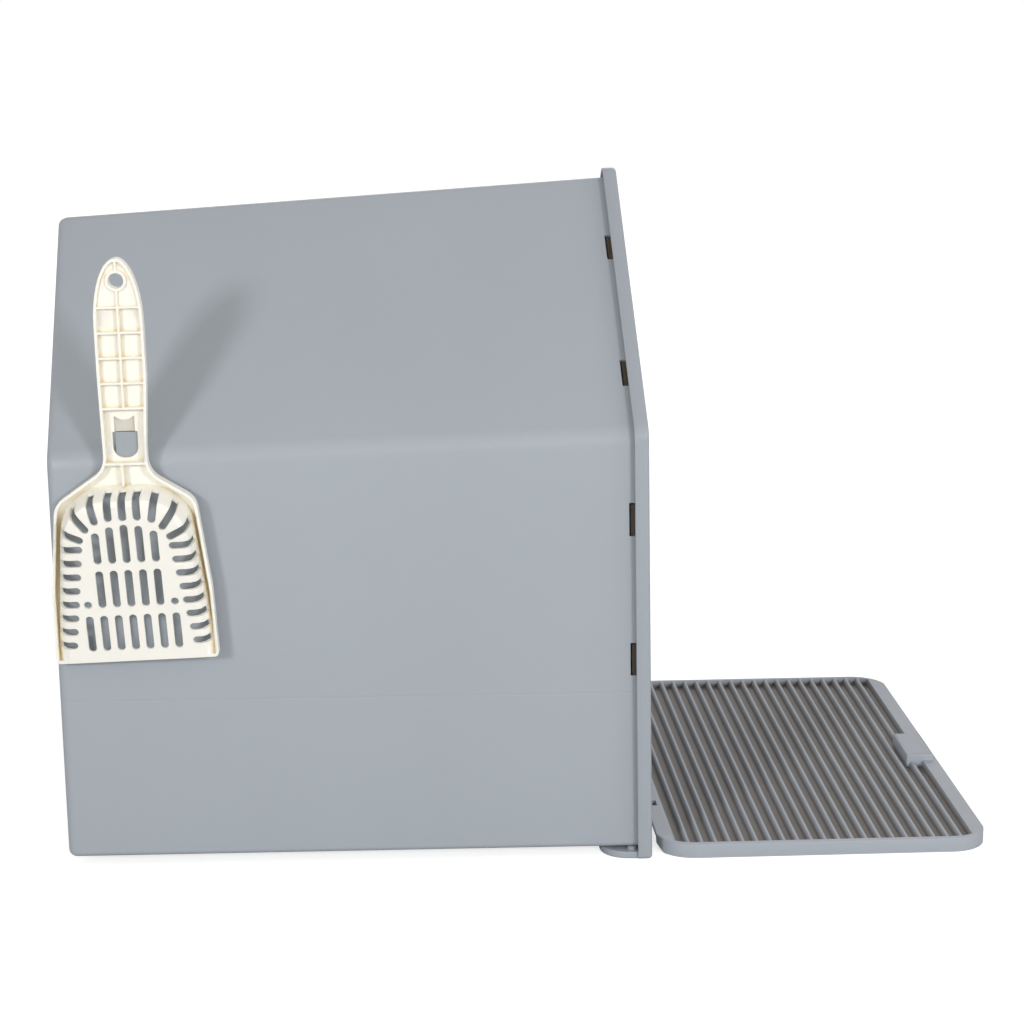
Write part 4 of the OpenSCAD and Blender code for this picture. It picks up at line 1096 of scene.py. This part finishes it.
class LITTERBOX_OT_mat(bpy.types.Operator):
    """Ridged step mat with its tab"""

    bl_idname = "litter_box.mat"
    bl_label = "Step mat"

    def execute(self, context):
        values = settings(context)
        mat, colours = values.mat, values.colours
        plastic = moulded("Mat plastic", colours.mat, roughness=0.45)
        # Heights over which the painted shade of the grooves fades out towards the crests.
        low, high = mat.groove + 0.001, mat.crest - 0.0004
        ridged = ridged_plastic("Ridge plastic", colours.mat, colours.mat_groove_shade, low, high)
        sheet = walled(*mat_grids(mat))
        piece = new_piece("mat", [sheet], "mat", plastic, smooth=40, replaces=["step_mat"])

        def in_field(middles):
            """Faces of the top inside the border."""
            x, y, z = middles.T
            from_ends = np.minimum(x - mat.near, mat.far - x) - mat.border
            inside = np.minimum(from_ends, mat_half(mat, x) - np.abs(y) - mat.side_border)
            return (inside > -0.0006) & (z > mat.hollow + 0.0005)

        # These faces get the ridge plastic with its painted shade in the grooves.
        set_second(piece, ridged, in_field)
        near, far, half, top, edge = mat.tab_near, mat.tab_far, mat.tab_half, mat.tab_top, 0.0008
        outline = rounded_outline([[near, -half], [far, -half], [far, half], [near, half]], [edge] * 4)
        profile = [(inset, top - drop) for inset, drop in eased_edge(edge, 4, 0.0004)] + [(0.0, mat.groove)]
        new_piece("mat_tab", [plate([outline], [profile], level)], "mat", plastic)
        return {"FINISHED"}


class LITTERBOX_OT_pins(bpy.types.Operator):
    """Two steel hinge pins in the mat"""

    bl_idname = "litter_box.pins"
    bl_label = "Hinge pins"

    def execute(self, context):
        values = settings(context)
        mat = values.mat
        looks = {"roughness": 0.28, "grain": 0.00002, "grain_scale": 1500, "drift": 0.06}
        steel = moulded("Pin steel", values.colours.steel, **looks)
        steel.node_tree.nodes["Principled BSDF"].inputs["Metallic"].default_value = 1.0
        radius, end, ease = mat.pin_radius, mat.pin_half, 0.0004
        half = [(radius, end - ease), (radius - ease, end), (0.0, end)]
        profile = [(out, -along) for out, along in half[::-1]] + half
        places = [(mat.hinge_reach, side * mat.ear_place, mat.hinge_height) for side in (-1, 1)]
        shapes = [lathe(profile, place, 1, 32) for place in places]
        new_piece("pins", shapes, "mat", steel, replaces=["hinge_pins"])
        return {"FINISHED"}


# --- Scoop -------------------------------------------------------------------------------


class LITTERBOX_OT_scoop(bpy.types.Operator):
    """Slotted scoop with its rim, ribs and hook"""

    bl_idname = "litter_box.scoop"
    bl_label = "Scoop"

    def execute(self, context):
        colours = settings(context).colours
        plastic = moulded("Scoop plastic", colours.scoop, roughness=0.34, drift=0.015)
        shader = plastic.node_tree.nodes["Principled BSDF"]
        shader.inputs["Subsurface Weight"].default_value = 0.1
        shader.inputs["Subsurface Radius"].default_value = (1.0, 0.7, 0.4)
        shader.inputs["Subsurface Scale"].default_value = 0.004
        # Painted shade in the scoop's corners and recesses, from ambient occlusion.
        corner_shaded(plastic, colours.scoop_corner_shade, 0.004)
        softened(plastic, 0.0006)
        merged_copy("scoop", "scoop_body", "scoop", plastic, smooth=28, close=1.5e-5)
        return {"FINISHED"}


# --- Stage -------------------------------------------------------------------------------


class LITTERBOX_OT_stage(bpy.types.Operator):
    """Pale floor, soft studio light and the camera at the photograph's angle"""

    bl_idname = "litter_box.stage"
    bl_label = "Stage"

    def execute(self, context):
        self.camera(context)
        self.floor()
        self.world(context)
        self.lamp("Left light", (-2.2, -3.3, 1.4), (0.6, 0.6), 47)
        self.lamp("Right light", (1.6, -3.4, 1.4), (0.6, 0.6), 42)
        self.lamp("Entry light", (3.0, -1.0, 1.6), (1.8, 1.8), 20)
        self.lamp("Back light", (0.4, 3.2, 2.2), (2.5, 1.5), 17)
        context.scene.view_settings.view_transform = "Standard"
        return {"FINISHED"}

    @staticmethod
    def camera(context):
        """Place and turn of the camera: right, up and backward directions from yaw, pitch and roll."""
        yaw, pitch, roll = np.radians([4.227, 13.605, 0.107])
        place = FOOT + np.array([-0.2378, -2.0376, 0.7047])
        ahead = np.array([np.sin(yaw) * np.cos(pitch), np.cos(yaw) * np.cos(pitch), -np.sin(pitch)])
        right = np.array([np.cos(yaw), -np.sin(yaw), 0.0])
        up = np.cross(right, ahead)
        matrix = np.eye(4)
        matrix[:3, 0] = np.cos(roll) * right + np.sin(roll) * up
        matrix[:3, 1] = np.cos(roll) * up - np.sin(roll) * right
        matrix[:3, 2], matrix[:3, 3] = -ahead, place
        data = bpy.data.cameras.new("Camera")
        data.lens = 95.93
        data.sensor_width = 36.0
        data.clip_end = 50.0
        camera = add_object("Camera", data)
        camera.matrix_world = Matrix(matrix.tolist())
        context.scene.camera = camera

    @staticmethod
    def floor():
        """A wide floor that shows white to the camera and keeps the object's shadow."""
        mesh = bpy.data.meshes.new("Floor")
        mesh.from_pydata([(-9, -9, 0), (9, -9, 0), (9, 9, 0), (-9, 9, 0)], [], [(0, 1, 2, 3)])
        material = bpy.data.materials.new("Floor paper")
        material.use_nodes = True
        tree = material.node_tree
        tree.nodes.clear()
        paper = add_node(tree, "BsdfDiffuse", Color=(0.62, 0.62, 0.62, 1))
        glow = add_node(tree, "Emission", Color=(1, 1, 1, 1), Strength=0.72)
        both = add_node(tree, "AddShader")
        wire(tree, (paper, 0, both, 0), (glow, 0, both, 1))
        white_to_camera(tree, paper, both, add_node(tree, "OutputMaterial"))
        mesh.materials.append(material)
        add_object("Floor", mesh)

    @staticmethod
    def world(context):
        """An even pale studio, white where the camera sees it."""
        world = bpy.data.worlds.new("Studio")
        world.use_nodes = True
        tree = world.node_tree
        tree.nodes.clear()
        split = height_in(tree, "Generated")
        height = smooth_range(tree, 0.0, 0.8)
        level_colour, zenith = (0.55, 0.58, 0.60, 1.0), (0.48, 0.45, 0.43, 1.0)
        shade = add_node(tree, "Mix", data_type="RGBA", A=level_colour, B=zenith)
        light = add_node(tree, "Background", Strength=1.0)
        white = add_node(tree, "Background", Color=(1, 1, 1, 1), Strength=1.0)
        wire(
            tree,
            (split, "Z", height, "Value"),
            (height, "Result", shade, "Factor"),
            (shade, "Result", light, "Color"),
        )
        white_to_camera(tree, light, white, add_node(tree, "OutputWorld"))
        context.scene.world = world

    @staticmethod
    def lamp(name, place, spread, power):
        """A soft rectangular lamp that faces the object's middle."""
        data = bpy.data.lights.new(name, "AREA")
        data.shape = "RECTANGLE"
        data.size, data.size_y = spread
        data.energy = power
        lamp = add_object(name, data)
        lamp.location = place
        toward = Vector((0.0, 0.0, 0.2)) - Vector(place)
        lamp.rotation_euler = toward.to_track_quat("-Z", "Y").to_euler()


# --- Sidebar and registering -------------------------------------------------------------


class LITTERBOX_PT_sidebar(bpy.types.Panel):
    """Sizes, colours and pieces of the litter box"""

    bl_idname = "LITTERBOX_PT_sidebar"
    bl_label = "Litter Box"
    bl_space_type = "VIEW_3D"
    bl_region_type = "UI"
    bl_category = "Litter Box"

    def draw(self, context):
        values = settings(context)
        for title, group in (
            ("Shell", values.shell),
            ("Panel", values.panel),
            ("Drawer", values.drawer),
            ("Mat", values.mat),
            ("Colours", values.colours),
        ):
            box = self.layout.box()
            box.label(text=title)
            for name in group.__annotations__:
                box.prop(group, name)
        for piece in PIECES:
            self.layout.operator(piece.bl_idname)


PIECES = (
    LITTERBOX_OT_shell,
    LITTERBOX_OT_panel,
    LITTERBOX_OT_feet,
    LITTERBOX_OT_hanger,
    LITTERBOX_OT_tray,
    LITTERBOX_OT_drawer_front,
    LITTERBOX_OT_mat,
    LITTERBOX_OT_pins,
    LITTERBOX_OT_scoop,
    LITTERBOX_OT_stage,
)
GROUPS = (ShellSizes, PanelSizes, DrawerSizes, MatSizes, Colours, BoxSettings)


def register():
    for group in GROUPS:
        bpy.utils.register_class(group)
    bpy.types.Scene.litter_box = bpy.props.PointerProperty(type=BoxSettings)
    for piece in PIECES:
        bpy.utils.register_class(piece)
    bpy.utils.register_class(LITTERBOX_PT_sidebar)


def unregister():
    bpy.utils.unregister_class(LITTERBOX_PT_sidebar)
    for piece in reversed(PIECES):
        bpy.utils.unregister_class(piece)
    del bpy.types.Scene.litter_box
    for group in reversed(GROUPS):
        bpy.utils.unregister_class(group)


def main():
    register()
    bpy.ops.litter_box.stage()
    bpy.ops.litter_box.shell()
    bpy.ops.litter_box.panel()
    bpy.ops.litter_box.feet()
    bpy.ops.litter_box.hanger()
    bpy.ops.litter_box.tray()
    bpy.ops.litter_box.drawer_front()
    bpy.ops.litter_box.mat()
    bpy.ops.litter_box.pins()
    bpy.ops.litter_box.scoop()


if __name__ == "__main__":
    main()
